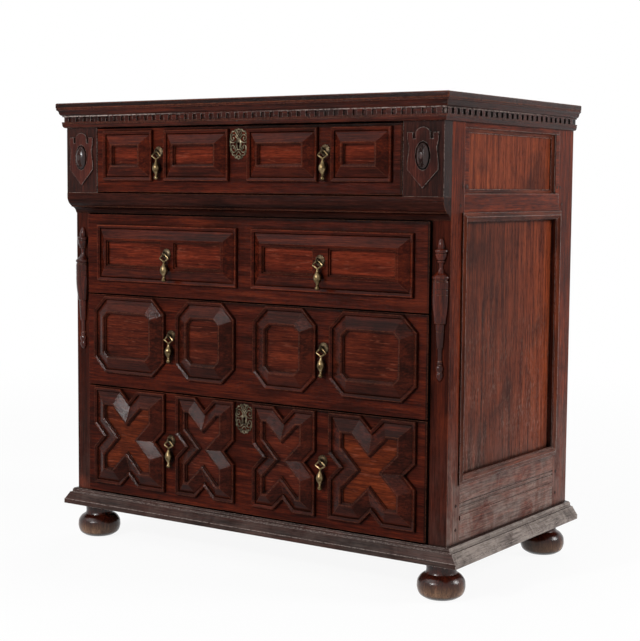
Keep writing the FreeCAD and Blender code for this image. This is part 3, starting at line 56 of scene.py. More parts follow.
class Graph:
    """The shader nodes of a material or a world, made and linked by short calls."""

    def __init__(self, tree):
        self.tree = tree

    def add(self, kind, values=None, **settings):
        node = self.tree.nodes.new(kind)
        for key, value in settings.items():
            setattr(node, key, value)
        for key, value in (values or {}).items():
            self.feed(node.inputs[key], value)
        return node

    def feed(self, socket, value):
        if isinstance(value, bpy.types.NodeSocket):
            self.tree.links.new(value, socket)
        else:
            socket.default_value = value

    def math(self, operation, first, second=0.0):
        return self.add("ShaderNodeMath", {0: first, 1: second}, operation=operation).outputs[0]

    def product(self, *values):
        total = values[0]
        for value in values[1:]:
            total = self.math("MULTIPLY", total, value)
        return total

    def vector(self, operation, first, second=(0, 0, 0)):
        return self.add("ShaderNodeVectorMath", {0: first, 1: second}, operation=operation)

    def fade(self, value, low, high):
        """A smooth rise from nought at low to one at high."""
        values = {"Value": value, "From Min": low, "From Max": high}
        return self.add("ShaderNodeMapRange", values, interpolation_type="SMOOTHSTEP").outputs[0]

    def spread(self, value, low, high):
        """An even rise from low to high, as the value goes from nought to one."""
        values = {"Value": value, "To Min": low, "To Max": high}
        return self.add("ShaderNodeMapRange", values).outputs[0]

    def noise(self, vector, scale, detail, rough, bend=0.0):
        values = {"Vector": vector, "Scale": scale, "Detail": detail, "Roughness": rough, "Distortion": bend}
        return self.add("ShaderNodeTexNoise", values).outputs["Fac"]

    def mix(self, factor, first, second, kind="RGBA"):
        start, out = MIX_SOCKETS[kind]
        values = {0: factor, start: first, start + 1: second}
        return self.add("ShaderNodeMix", values, data_type=kind).outputs[out]

    def cover(self, colour, over, *shares):
        """A colour with another laid over it, as far as the product of the shares."""
        return self.mix(self.product(*shares), colour, over)

    def ramp(self, factor, places, colours):
        node = self.add("ShaderNodeValToRGB", {0: factor})
        elements = node.color_ramp.elements
        while len(elements) < len(colours):
            elements.new(places[1])
        for element, place, colour in zip(elements, places, colours):
            element.position = place
            element.color = colour
        return node.outputs[0]

    def closeness(self, reach):
        """One in the open, and less where other surfaces stand within reach."""
        node = self.add("ShaderNodeAmbientOcclusion", {"Distance": reach}, samples=CLOSENESS_SAMPLES)
        return node.outputs["AO"]


class Paint(Graph):
    """The shader nodes of a new material, with a point's place on the piece."""

    def __init__(self, name):
        self.material = bpy.data.materials.new(name)
        self.material.use_nodes = True
        super().__init__(self.material.node_tree)
        self.shader = self.tree.nodes["Principled BSDF"]
        self.place = self.add("ShaderNodeTexCoord").outputs["Object"]

    def coat(self, values):
        """Leads values to the shader's sockets."""
        for key, value in values.items():
            self.feed(self.shader.inputs[key], value)
        return self.material


def rgb(red, green, blue):
    """A shader colour from the 0 to 255 numbers of a screen colour, by the sRGB curve."""
    line = []
    for part in (red, green, blue):
        share = part / 255
        line.append(share / 12.92 if share <= 0.04045 else ((share + 0.055) / 1.055) ** 2.4)
    return (*line, 1.0)


GRAIN_STRETCH = 20.0
GRAIN = {
    "x": (1.0, GRAIN_STRETCH, GRAIN_STRETCH),
    "y": (GRAIN_STRETCH, 1.0, GRAIN_STRETCH),
    "z": (GRAIN_STRETCH, GRAIN_STRETCH, 1.0),
}
GRAIN_SHIFT = (1.7, 2.3, 0.9)
PATCH_SHIFT = (3.1, 1.0, 2.2)

# A noise is its scale, detail, roughness and distortion. A fade is where it is nought and where it is one.
STREAK_NOISE = (3.6, 4.0, 0.55, 0.5)
LINE_NOISE = (17.0, 6.0, 0.72, 0.15)
PORE_NOISE = (70.0, 2.0, 0.5)
PATCH_NOISE = (7.0, 3.0, 0.6, 0.4)
DUST_NOISE = (240.0, 2.0, 0.6)
STREAK_SHARE = 0.42
LINE_SHARE = 0.58
TONE_STEPS = (0.38, 0.5, 0.63)
PALE_PATCH, PALE_SHARE = (0.5, 0.75), 0.35
DARK_PATCH, DARK_SHARE = (0.5, 0.28), 0.6
PORE_FADE, PORE_SHARE = (0.47, 0.37), 0.6

RAY_TURN = (0, 0.75, 0)
RAY_SCALE = (26, 26, 190)
RAY_NOISE = (1.0, 2.0, 0.5, 0.7)
RAY_FADE = (0.6, 0.7)
RAY = rgb(124, 66, 48)

# A grey haze low down, strongest on the sides: dry wax and a painted sheen.
SHEEN_BLOOM_HEIGHT = (0.42, 0.06)
SHEEN_BLOOM_NOISE = (16.0, 5.0, 0.7, 0.5)
SHEEN_BLOOM_FADE = (0.18, 0.8)
BRUSH_FADE, BRUSH_SHARE, BRUSH_BASE = (0.35, 0.62), 0.55, 0.45
SHEEN_BLOOM = rgb(146, 134, 126)

SPECK_HEIGHT = (0.75, 0.2)
SPECK_NOISE = (72.0, 2.0, 0.5)
SPECK_FADE = (0.6, 0.68)
AREA_NOISE = (9.0, 3.0, 0.6)
AREA_FADE = (0.38, 0.6)
SPECK = rgb(160, 138, 124)

# Darkening of hollows where other surfaces stand close: partly dirt, partly painted shade.
DIRT_AND_SHADE_REACH = 0.014
DIRT_AND_SHADE_FADE, DIRT_AND_SHADE_SHARE = (0.84, 0.36), 0.95
DIRT_AND_SHADE = rgb(11, 5, 3)
EDGE_ROUND = 0.0011
EDGE_SAMPLES = 4
EDGE_BEND = (0.004, 0.05)
EDGE_OPEN = (0.45, 0.8)
EDGE_DUST = (0.32, 0.62)
WORN_EDGE = rgb(144, 86, 60)
# A pale arris: a painted highlight along the edges, with some pale wear.
PALE_EDGE_HIGHLIGHT = rgb(176, 160, 152)

ROUGH_BELOW, ROUGH_ABOVE = 0.06, 0.1
PIT_FADE, PIT_SHARE = (0.34, 0.5), 0.8
PATCH_RISE = 1.5
BUMP_DEPTH = 0.0006
WAX_GLOSS = 0.075
SIDE_GLOSS = 0.03
PANEL_GLOSS = 0.042
RUBBED_GLOSS = 0.3
TURNED_GLOSS = 0.2
BOSS_GLOSS = 0.42


def seeded(seed, steps):
    """A shift that differs from seed to seed, so that no two boards have the same figure."""
    return [seed * step for step in steps]


class Wood(Paint):
    """A wood's nodes, and what its masks read: a point's place, its face's direction and the grain."""

    def __init__(self, name, grain, seed):
        super().__init__(name)
        self.spot = self.add("ShaderNodeSeparateXYZ", {0: self.place})
        self.facing = self.add("ShaderNodeNewGeometry").outputs["True Normal"]
        self.turned = self.add("ShaderNodeSeparateXYZ", {0: self.facing})
        self.along = self.grain_vector(grain, seed)
        self.shifted = self.vector("ADD", self.place, seeded(seed, PATCH_SHIFT)).outputs[0]
        self.line = self.noise(self.along, *LINE_NOISE)

    def grain_vector(self, grain, seed):
        """Coordinates drawn out along the grain. A two-letter grain follows a mitred frame's members."""
        stretched = []
        for axis in grain:
            values = {"Vector": self.place, "Location": seeded(seed, GRAIN_SHIFT), "Scale": GRAIN[axis]}
            stretched.append(self.add("ShaderNodeMapping", values).outputs[0])
        if len(grain) == 1:
            return stretched[0]
        parts = self.add("ShaderNodeSeparateXYZ", {0: self.vector("ABSOLUTE", self.facing).outputs[0]})
        upright = self.math("GREATER_THAN", parts.outputs[grain[0].upper()], parts.outputs["Z"])
        return self.mix(upright, *stretched, kind="VECTOR")


FRONT_FACING = -0.95
SIDE_FACING = 0.5
FIELD_TOLERANCE = 0.0006
RIM_DEPTH = (0.008, 0.003)
RIM_ACROSS = (-0.5, 0.25)
RIM_END = (0.006, 0.002)


def to_front(wood):
    """One on faces that look to the front."""
    return wood.math("LESS_THAN", wood.turned.outputs["Y"], FRONT_FACING)


def to_side(wood):
    """One on faces that look to either side."""
    return wood.math("GREATER_THAN", wood.math("ABSOLUTE", wood.turned.outputs["X"]), SIDE_FACING)


def on_plane(plane, beyond=0.0):
    """One on front faces in one plane, such as a panel's sunk field, beyond a distance from the middle."""

    def mask(wood):
        gap = wood.math("ABSOLUTE", wood.math("SUBTRACT", wood.spot.outputs["Y"], plane))
        near = wood.product(to_front(wood), wood.math("LESS_THAN", gap, FIELD_TOLERANCE))
        if not beyond:
            return near
        out = wood.math("ABSOLUTE", wood.spot.outputs["X"])
        return wood.product(near, wood.math("GREATER_THAN", out, beyond))

    return mask


def within_side(reach):
    """One on side faces nearer to the middle than a distance, such as the band between side dentils."""

    def mask(wood):
        out = wood.math("ABSOLUTE", wood.spot.outputs["X"])
        return wood.product(to_side(wood), wood.math("LESS_THAN", out, reach))

    return mask


def shade_along_rim(top, end):
    """Painted shade along the top edge of a drawer's front, thicker to the right, and down its right edge."""

    def mask(wood):
        rise = wood.fade(wood.spot.outputs["Z"], top - RIM_DEPTH[0], top - RIM_DEPTH[1])
        across = wood.fade(wood.spot.outputs["X"], *RIM_ACROSS)
        rim = wood.fade(wood.spot.outputs["X"], end - RIM_END[0], end - RIM_END[1])
        return wood.math("MAXIMUM", wood.product(rise, across), rim)

    return mask


def between(axis, start, end):
    """From nought to one along an axis."""

    def mask(wood):
        return wood.fade(wood.spot.outputs[axis], start, end)

    return mask


def ray_flecks(wood, area):
    """Slanting flecks of quartered oak, inside an area."""
    values = {"Vector": wood.shifted, "Rotation": RAY_TURN, "Scale": RAY_SCALE}
    slant = wood.add("ShaderNodeMapping", values).outputs[0]
    return wood.product(wood.fade(wood.noise(slant, *RAY_NOISE), *RAY_FADE), area)


def wax_bloom(wood, bare):
    """A grey near the floor, partly dry, lifted wax and partly a painted sheen, of which the front keeps the
    bare share.
    """
    low = wood.fade(wood.spot.outputs["Z"], *SHEEN_BLOOM_HEIGHT)
    cloud = wood.fade(wood.noise(wood.shifted, *SHEEN_BLOOM_NOISE), *SHEEN_BLOOM_FADE)
    brush = wood.product(wood.fade(wood.line, *BRUSH_FADE), BRUSH_SHARE)
    haze = wood.product(low, cloud, wood.math("ADD", brush, BRUSH_BASE))
    return wood.product(haze, wood.math("ADD", bare, wood.product(to_side(wood), 1 - bare)))


def pale_specks(wood):
    """Short pale dashes in patches, low on the sides."""
    low = wood.fade(wood.spot.outputs["Z"], *SPECK_HEIGHT)
    dash = wood.fade(wood.noise(wood.along, *SPECK_NOISE), *SPECK_FADE)
    area = wood.fade(wood.noise(wood.shifted, *AREA_NOISE), *AREA_FADE)
    return wood.product(dash, area, low, to_side(wood))


def oak(
    name, tones, grain="x", seed=0.0, zones=(), worn=0.5, arris=WORN_EDGE, bloom=0.0, bare=0.35, speck=0.0,
    fleck=0.0, rough=0.19, gloss=WAX_GLOSS, relief=0.35,
):
    """Old waxed oak: streaks, pores, patches, dirt and painted shade in the corners, and worn edges in the
    colour of the arris, a painted highlight where the arris is pale.

    Each zone is a mask with tones of its own, and flecks lie in the first one. Bloom is a grey near the floor,
    partly dry wax and partly a painted sheen that is strongest on the sides, and bare is the share of it that
    the front keeps."""
    dark, _, light = tones
    wood = Wood(name, grain, seed)
    streak = wood.noise(wood.along, *STREAK_NOISE)
    pore = wood.noise(wood.along, *PORE_NOISE)
    patch = wood.noise(wood.shifted, *PATCH_NOISE)
    dust = wood.noise(wood.shifted, *DUST_NOISE)
    figure = wood.math("ADD", wood.product(streak, STREAK_SHARE), wood.product(wood.line, LINE_SHARE))
    colour = wood.ramp(figure, TONE_STEPS, tones)
    for mask, zone_tones in zones:
        colour = wood.mix(mask(wood), colour, wood.ramp(figure, TONE_STEPS, zone_tones))
    colour = wood.cover(colour, light, wood.fade(patch, *PALE_PATCH), PALE_SHARE)
    colour = wood.cover(colour, dark, wood.fade(patch, *DARK_PATCH), DARK_SHARE)
    if fleck:
        area, _ = zones[0]
        colour = wood.cover(colour, RAY, ray_flecks(wood, area(wood)), fleck)
    colour = wood.cover(colour, dark, wood.fade(pore, *PORE_FADE), PORE_SHARE)
    # Grey near the floor: dry wax, and a painted sheen on the sides.
    if bloom:
        colour = wood.cover(colour, SHEEN_BLOOM, wax_bloom(wood, bare), bloom)
    if speck:
        colour = wood.cover(colour, SPECK, pale_specks(wood), speck)
    closed = wood.closeness(DIRT_AND_SHADE_REACH)
    # Hollows darkened: dirt and painted shade.
    colour = wood.cover(colour, DIRT_AND_SHADE, wood.fade(closed, *DIRT_AND_SHADE_FADE), DIRT_AND_SHADE_SHARE)
    rounded = wood.add("ShaderNodeBevel", {"Radius": EDGE_ROUND}, samples=EDGE_SAMPLES).outputs[0]
    bent = wood.math("SUBTRACT", 1.0, wood.vector("DOT_PRODUCT", rounded, wood.facing).outputs["Value"])
    edge = wood.product(wood.fade(bent, *EDGE_BEND), wood.fade(closed, *EDGE_OPEN), wood.fade(dust, *EDGE_DUST))
    # Edges in the arris colour: wear, and a painted highlight where the arris is pale.
    colour = wood.cover(colour, arris, edge, worn)
    matt = wood.spread(wood.line, rough - ROUGH_BELOW, rough + ROUGH_ABOVE)
    height = wood.math("ADD", wood.line, wood.product(wood.fade(pore, *PIT_FADE), PIT_SHARE))
    height = wood.math("ADD", height, wood.product(patch, PATCH_RISE))
    values = {"Strength": relief, "Distance": BUMP_DEPTH, "Height": height, "Normal": rounded}
    bump = wood.add("ShaderNodeBump", values).outputs[0]
    return wood.coat({"Base Color": colour, "Roughness": matt, "Normal": bump, "Specular IOR Level": gloss})


METAL_NOISE = (110.0, 4.0, 0.6, 0.3)
METAL_PITS = (900.0, 2.0, 0.5)
METAL_STEPS = (0.35, 0.52, 0.7)
METAL_REACH = 0.006
METAL_FADE, METAL_SHARE = (0.85, 0.3), 0.7
METAL_DIRT = rgb(24, 18, 10)
DULL_ROUGH, RUBBED_SMOOTH = 0.14, 0.08
METAL_RELIEF, METAL_DEPTH = 0.25, 0.0002


def metal(name, tones, rough):
    """Old metal: dull skin, rubbed bright in patches, darkened in its hollows."""
    skin = Paint(name)
    patch = skin.noise(skin.place, *METAL_NOISE)
    colour = skin.ramp(patch, METAL_STEPS, tones)
    dirt = skin.fade(skin.closeness(METAL_REACH), *METAL_FADE)
    colour = skin.cover(colour, METAL_DIRT, dirt, METAL_SHARE)
    matt = skin.spread(patch, rough + DULL_ROUGH, rough - RUBBED_SMOOTH)
    pits = skin.noise(skin.place, *METAL_PITS)
    values = {"Strength": METAL_RELIEF, "Distance": METAL_DEPTH, "Height": pits}
    bump = skin.add("ShaderNodeBump", values).outputs[0]
    return skin.coat({"Base Color": colour, "Metallic": 1.0, "Roughness": matt, "Normal": bump})


# The dark, middle and light tone of each wood and metal.
# Near-black tones for painted shade: the top board's front edge, the band between side dentils and the rims of
# the drawer fronts.
SHADE_BLACK = (rgb(8, 3, 2), rgb(18, 8, 6), rgb(34, 15, 11))
BLACK = (rgb(18, 6, 4), rgb(38, 15, 10), rgb(62, 27, 19))
DARK = (rgb(23, 7, 4), rgb(48, 17, 10), rgb(76, 28, 16))
RED = (rgb(28, 8, 4), rgb(56, 17, 9), rgb(90, 33, 17))
FIELD = (rgb(40, 12, 7), rgb(80, 27, 15), rgb(114, 44, 26))
DEEP = (rgb(36, 11, 6), rgb(66, 23, 13), rgb(96, 38, 22))
ORANGE = (rgb(48, 16, 7), rgb(82, 31, 13), rgb(114, 48, 23))
SIDE = (rgb(36, 15, 10), rgb(80, 37, 24), rgb(118, 55, 33))
WARM = (rgb(54, 20, 11), rgb(110, 48, 27), rgb(146, 72, 40))
STILE = (rgb(42, 13, 7), rgb(84, 33, 19), rgb(128, 53, 27))
SHIELD = (rgb(34, 11, 8), rgb(58, 24, 18), rgb(84, 38, 29))
# Paler foot bottoms: wear, and painted light bounced from the floor.
SOLE_WEAR_AND_BOUNCE = (rgb(80, 52, 37), rgb(120, 88, 65), rgb(146, 112, 85))
PLAIN = (rgb(92, 66, 44), rgb(132, 98, 66), rgb(164, 126, 88))
BRASS = (rgb(58, 45, 27), rgb(108, 91, 64), rgb(150, 131, 98))
DULL_BRASS = (rgb(34, 26, 17), rgb(66, 54, 40), rgb(96, 84, 66))
DARK_BRASS = (rgb(44, 37, 28), rgb(90, 82, 66), rgb(138, 128, 108))
IRON = (rgb(40, 34, 30), rgb(70, 66, 62), rgb(112, 106, 100))

WELD_REACH = 0.00001
FLAT_ANGLE = math.radians(0.5)
EDGE_ANGLE = math.radians(28)
EDGE_SEGMENTS = 2


def soften(name, width):
    """Rounds a board's edges: its corners are joined, its flats made whole, then its edges cut."""
    node = nodes[name]
    weld = node.modifiers.new("weld", "WELD")
    weld.merge_threshold = WELD_REACH
    flats = node.modifiers.new("flats", "DECIMATE")
    flats.decimate_type = "DISSOLVE"
    flats.angle_limit = FLAT_ANGLE
    bevel = node.modifiers.new("edges", "BEVEL")
    bevel.width = width * MM
    bevel.segments = EDGE_SEGMENTS
    bevel.limit_method = "ANGLE"
    bevel.angle_limit = EDGE_ANGLE
    bevel.use_clamp_overlap = True
    even = node.modifiers.new("even", "WEIGHTED_NORMAL")
    even.keep_sharp = False


def dress(name, material, round_edge=0.0):
    """Gives a node its material, and rounds its edges by some millimetres."""
    node = nodes[name]
    node.data.materials.clear()
    node.data.materials.append(material)
    if round_edge:
        soften(name, round_edge)


def wooden(node, name, tones, round_edge=0.0, **look):
    """Dresses a node in an oak of its own."""
    dress(node, oak(name, tones, **look), round_edge)


SHIELD_PLANE = -0.275
DENTIL_PLANE = -0.276
DENTIL_SIDE = 0.4846
BACK_PART = ("Y", -0.02, 0.2)
UPPER_PANEL = ("Z", 0.74, 0.77)
SOLE_RISE = ("Z", 0.04, 0.01)
BARE_WOOD = {"worn": 0.3, "rough": 0.6}

# The top board's front edge is painted in near-black shade; its side edges take a darker tone.
top_edges = [(to_front, SHADE_BLACK), (to_side, BLACK)]
wooden("top_board", "oak_top", DARK, round_edge=2.5, seed=1, zones=top_edges, worn=0.7)
wooden("cornice_moulding", "oak_cornice", DARK, grain="xy", seed=2, worn=0.6)
# The band between the side dentils is painted in near-black shade; the front gap plane keeps the moulding's own
# tones.
gaps = [(on_plane(DENTIL_PLANE), DARK), (within_side(DENTIL_SIDE), SHADE_BLACK)]
wooden("dentil_moulding", "oak_dentil", DARK, round_edge=0.8, seed=3, zones=gaps, worn=0.9, arris=PALE_EDGE_HIGHLIGHT)
wooden("waist_moulding", "oak_waist", BLACK, seed=4, worn=0.6, gloss=SIDE_GLOSS)
base_oak = oak("oak_base", BLACK, grain="xy", seed=5, worn=1.2, arris=PALE_EDGE_HIGHLIGHT, bloom=1.8, bare=0.1)
dress("base_moulding", base_oak)
shields = [(on_plane(SHIELD_PLANE), SHIELD)]
wooden(
    "corner_plaques", "oak_plaques", BLACK, round_edge=0.7, grain="z", seed=6, zones=shields, worn=0.75,
    arris=PALE_EDGE_HIGHLIGHT,
)
wooden("front_rails", "oak_front_rails", DARK, round_edge=1.0, seed=9)
wooden("joint_pegs", "oak_pegs", BLACK, round_edge=0.4, grain="y", seed=10)
dark_front = [(to_front, DARK)]
warm_back = [(between(*BACK_PART), WARM), (between(*UPPER_PANEL), WARM)]
for side, seed in (("left", 11), ("right", 13)):
    wooden(
        "front_stile_" + side, "oak_front_stile_" + side, STILE, round_edge=1.2, grain="z", seed=seed,
        zones=dark_front, bloom=0.8, bare=0.1, speck=0.4, gloss=SIDE_GLOSS,
    )
    wooden(
        "rear_stile_" + side, "oak_rear_stile_" + side, STILE, round_edge=1.2, grain="z", seed=seed + 0.5,
        bloom=0.6, speck=0.3, gloss=SIDE_GLOSS,
    )
    wooden(
        "side_rails_" + side, "oak_side_rails_" + side, STILE, round_edge=1.0, grain="y", seed=seed + 0.7,
        arris=PALE_EDGE_HIGHLIGHT, bloom=1.0, speck=0.6, gloss=SIDE_GLOSS,
    )
    wooden(
        "side_panels_" + side, "oak_side_panels_" + side, SIDE, grain="z", seed=seed + 0.9,
        zones=warm_back, bloom=0.3, speck=0.8, gloss=SIDE_GLOSS,
    )
wooden(
    "side_panel_mouldings", "oak_side_mouldings", SIDE, grain="yz", seed=15, worn=1.7, arris=PALE_EDGE_HIGHLIGHT,
    bloom=0.5, gloss=SIDE_GLOSS,
)
wooden("back_rails", "oak_back_rails", PLAIN, round_edge=1.0, seed=16, **BARE_WOOD)
wooden("back_panels", "oak_back_panels", PLAIN, grain="z", seed=17, **BARE_WOOD)
wooden("drawer_runners", "oak_runners", PLAIN, round_edge=0.8, grain="y", seed=18, **BARE_WOOD)
turned_oak = oak("oak_turned", RED, grain="z", seed=7, rough=0.1, gloss=TURNED_GLOSS, relief=0.05)
ovolo_oak = oak("oak_ovolo", DARK, grain="xy", seed=2.4)
# The bottom of each foot is paler: wear, and painted floor-bounce light.
sole_wear_and_bounce = [(between(*SOLE_RISE), SOLE_WEAR_AND_BOUNCE)]
foot_oak = oak("oak_feet", DARK, grain="z", seed=8, zones=sole_wear_and_bounce, worn=0.3, gloss=RUBBED_GLOSS, relief=0.1)
boss_oak = oak("oak_boss", BLACK, grain="z", seed=19, worn=0.4, rough=0.2, gloss=BOSS_GLOSS, relief=0.02)
brass = metal("old_brass", BRASS, rough=0.3)
dull_brass = metal("dull_brass", DULL_BRASS, rough=0.46)
dark_brass = metal("dark_brass", DARK_BRASS, rough=0.4)
iron = metal("iron", IRON, rough=0.45)

# Each drawer's tones for its mouldings, its sunk fields and those of its outer panels, where they differ, then
# the plane of the fields, and the top and the right end of its front, along which shade is painted.
DRAWERS = {
    1: {"tones": RED, "field": FIELD, "plane": -0.279, "top": 0.919, "end": 0.3885},
    2: {"tones": RED, "field": FIELD, "plane": -0.258, "top": 0.733, "end": 0.4385},
    3: {"tones": DARK, "field": DEEP, "plane": -0.257, "top": 0.556, "end": 0.4385},
    4: {"tones": DARK, "field": DEEP, "outer": ORANGE, "plane": -0.257, "top": 0.351, "end": 0.4385},
}
LOCKED = (1, 4)
OUTER_PANELS = 0.2
DRAWER_SEED, SEED_STEP = 20, 3
panel_oaks = {}

for number, about in DRAWERS.items():
    drawer = "drawer_%d_" % number
    seed = DRAWER_SEED + number * SEED_STEP
    # Painted shade along the front's top edge and down its right end.
    rim_shade = [(shade_along_rim(about["top"], about["end"]), SHADE_BLACK)]
    wooden(
        drawer + "front", "oak_" + drawer + "front", RED, round_edge=1.2, seed=seed, zones=rim_shade,
        gloss=SIDE_GLOSS,
    )
    zones = [(on_plane(about["plane"]), about["field"])]
    if "outer" in about:
        zones.append((on_plane(about["plane"], OUTER_PANELS), about["outer"]))
    panel_oaks[number] = oak(
        "oak_" + drawer + "mouldings", about["tones"], seed=seed + 0.4, zones=zones, worn=0.38, fleck=0.35,
        rough=0.1, gloss=PANEL_GLOSS, relief=0.1,
    )
    dress(drawer + "mouldings", panel_oaks[number])
    for part, axis in (("sides", "y"), ("back", "x"), ("bottom", "x")):
        wooden(
            drawer + part, "oak_" + drawer + part, PLAIN, round_edge=0.8, grain=axis, seed=seed + 1, **BARE_WOOD
        )
    for part in ("pull_mounts", "drop_left", "drop_right"):
        dress(drawer + part, brass)
for number in LOCKED:
    drawer = "drawer_%d_" % number
    dress(drawer + "escutcheon", dark_brass)
    dress(drawer + "lock_case", iron, round_edge=0.8)
    dress(drawer + "lock_bolt", iron, round_edge=0.5)

SAME_PLACE_DIGITS = 5


def islands(name):
    """The boxes of a node's separate solids, as (lowest corner, highest corner)."""
    mesh = nodes[name].data
    keys = [tuple(round(value, SAME_PLACE_DIGITS) for value in vertex.co) for vertex in mesh.vertices]
    leader = {key: key for key in keys}

    def head(key):
        while leader[key] != key:
            leader[key] = leader[leader[key]]
            key = leader[key]
        return key

    for polygon in mesh.polygons:
        first = head(keys[polygon.vertices[0]])
        for index in polygon.vertices:
            leader[head(keys[index])] = first
    groups = {}
    for key in leader:
        groups.setdefault(head(key), []).append(key)
    boxes = []
    for members in groups.values():
        low = Vector([min(values) for values in zip(*members)])
        high = Vector([max(values) for values in zip(*members)])
        boxes.append((low, high))
    return boxes


def smooth_line(points, steps):
    """A smooth line through the points, with several steps from each to the next."""
    last = len(points) - 1
    line = []
    for index in range(last):
        near = [Vector(points[min(max(index + offset, 0), last)]) for offset in (-1, 0, 1, 2)]
        before, start, end, after = near
        for step in range(steps):
            t = step / steps
            square = (2 * before - 5 * start + 4 * end - after) * t * t
            cube = (3 * start - before - 3 * end + after) * t ** 3
            line.append((start * 2 + (end - before) * t + (square + cube)) / 2)
    line.append(Vector(points[-1]))
    return line


def rounded_loop(points, reach, steps):
    """A closed line of straight runs, with its corners rounded in several steps."""
    line = []
    for index, corner in enumerate(points):
        middle = Vector(corner)
        start = middle + (Vector(points[index - 1]) - middle).normalized() * reach
        end = middle + (Vector(points[(index + 1) % len(points)]) - middle).normalized() * reach
        for step in range(steps + 1):
            t = step / steps
            line.append(start * (1 - t) ** 2 + middle * 2 * t * (1 - t) + end * t * t)
    return line


OUTLINE_STEPS = 4


def outline(*sections):
    """A turning's profile from sections of (along, radius), each smooth in itself."""
    line = []
    for section in sections:
        if len(section) > 2:
            line.extend(smooth_line(section, OUTLINE_STEPS))
        else:
            line.extend(Vector(point) for point in section)
    return line


def add_object(name, data):
    """A new object in the scene."""
    item = bpy.data.objects.new(name, data)
    bpy.context.scene.collection.objects.link(item)
    return item


class Shape:
    """A piece's points and faces, in millimetres about a centre that is given in metres."""

    def __init__(self, centre=(0, 0, 0)):
        self.centre = Vector(centre)
        self.points = []
        self.faces = []

    def at(self, centre):
        self.centre = Vector(centre)

    def skin(self, rows, looped=False, capped=False):
        """Joins rings of points into a skin. A looped skin joins its ends, and a capped one closes them."""
        first = len(self.points)
        count = len(rows[0])
        for row in rows:
            self.points.extend(self.centre + Vector(point) * MM for point in row)
        joins = len(rows) if looped else len(rows) - 1
        for row in range(joins):
            here = first + row * count
            there = first + (row + 1) % len(rows) * count
            for place in range(count):
                beside = (place + 1) % count
                self.faces.append((here + place, here + beside, there + beside, there + place))
        if capped:
            self.faces.append(tuple(range(first, first + count)))
            last = first + (len(rows) - 1) * count
            self.faces.append(tuple(range(last, last + count)))

    def upright(self, profile, sides, half=False):
        """A turning about the vertical, from (height, radius). A half turning has its flat at the back."""
        rows = []
        for height, radius in profile:
            row = []
            for side in range(sides + 1 if half else sides):
                turn = math.pi * side / sides if half else math.tau * side / sides
                row.append((math.cos(turn) * radius, -math.sin(turn) * radius, height))
            rows.append(row)
        self.skin(rows, capped=True)

    def facing(self, profile, sides, lobes=0, scallop=0.0):
        """A turning about the line to the front, from (rise, radius), with an edge scalloped in lobes."""
        rows = []
        widest = max(radius for rise, radius in profile)
        for rise, radius in profile:
            row = []
            for side in range(sides):
                turn = math.tau * side / sides
                wave = 0.5 - 0.5 * math.cos(turn * lobes) if lobes else 0.0
                reach = radius * (1 - scallop * wave * (radius / widest) ** 2)
                row.append((math.cos(turn) * reach, -rise, math.sin(turn) * reach))
            rows.append(row)
        self.skin(rows, capped=True)

    def tube(self, line, radius, normal, sides=8, closed=False, flatten=1.0):
        """A wire along a flat line, with the line's normal given. Flatten thins it along the normal."""
        normal = Vector(normal)
        count = len(line)
        rows = []
        for index in range(count):
            if closed:
                run = line[(index + 1) % count] - line[index - 1]
            else:
                run = line[min(index + 1, count - 1)] - line[max(index - 1, 0)]
            side = run.normalized().cross(normal)
            row = []
            for step in range(sides):
                turn = math.tau * step / sides
                out = side * math.cos(turn) * radius
                row.append(line[index] + out + normal * math.sin(turn) * radius * flatten)
            rows.append(row)
        self.skin(rows, looped=closed, capped=not closed)

    def make(self, name, material, body, slot, replaced=(), sharp=38):
        """Makes the piece, smooth but for edges over the sharp angle in degrees, and gives it to its body."""
        mesh = bpy.data.meshes.new(name)
        mesh.from_pydata(self.points, [], self.faces)
        work = bmesh.new()
        work.from_mesh(mesh)
        bmesh.ops.recalc_face_normals(work, faces=work.faces)
        work.to_mesh(mesh)
        work.free()
        for polygon in mesh.polygons:
            polygon.use_smooth = True
        mesh.set_sharp_from_angle(angle=math.radians(sharp))
        mesh.materials.append(material)
        item = add_object(name, mesh)
        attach(item, body)
        if replaced:
            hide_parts(*replaced)


FOOT_SIDES = 48
FOOT_PROFILE = outline(
    [
        (0, 26), (1.2, 31), (2.5, 34), (9, 43), (20, 47.2), (28, 47.4), (36, 46.2), (44, 41), (48.5, 35),
        (50, 31.5),
    ],
    [(50, 31.5), (56, 29.5), (64, 30), (74, 31)],
)
feet = Shape()
for low, high in islands("bun_feet"):
    feet.at(((low.x + high.x) / 2, (low.y + high.y) / 2, low.z))
    feet.upright(FOOT_PROFILE, FOOT_SIDES)
feet.make("turned_feet", foot_oak, "carcass", "oak", ["bun_feet"])

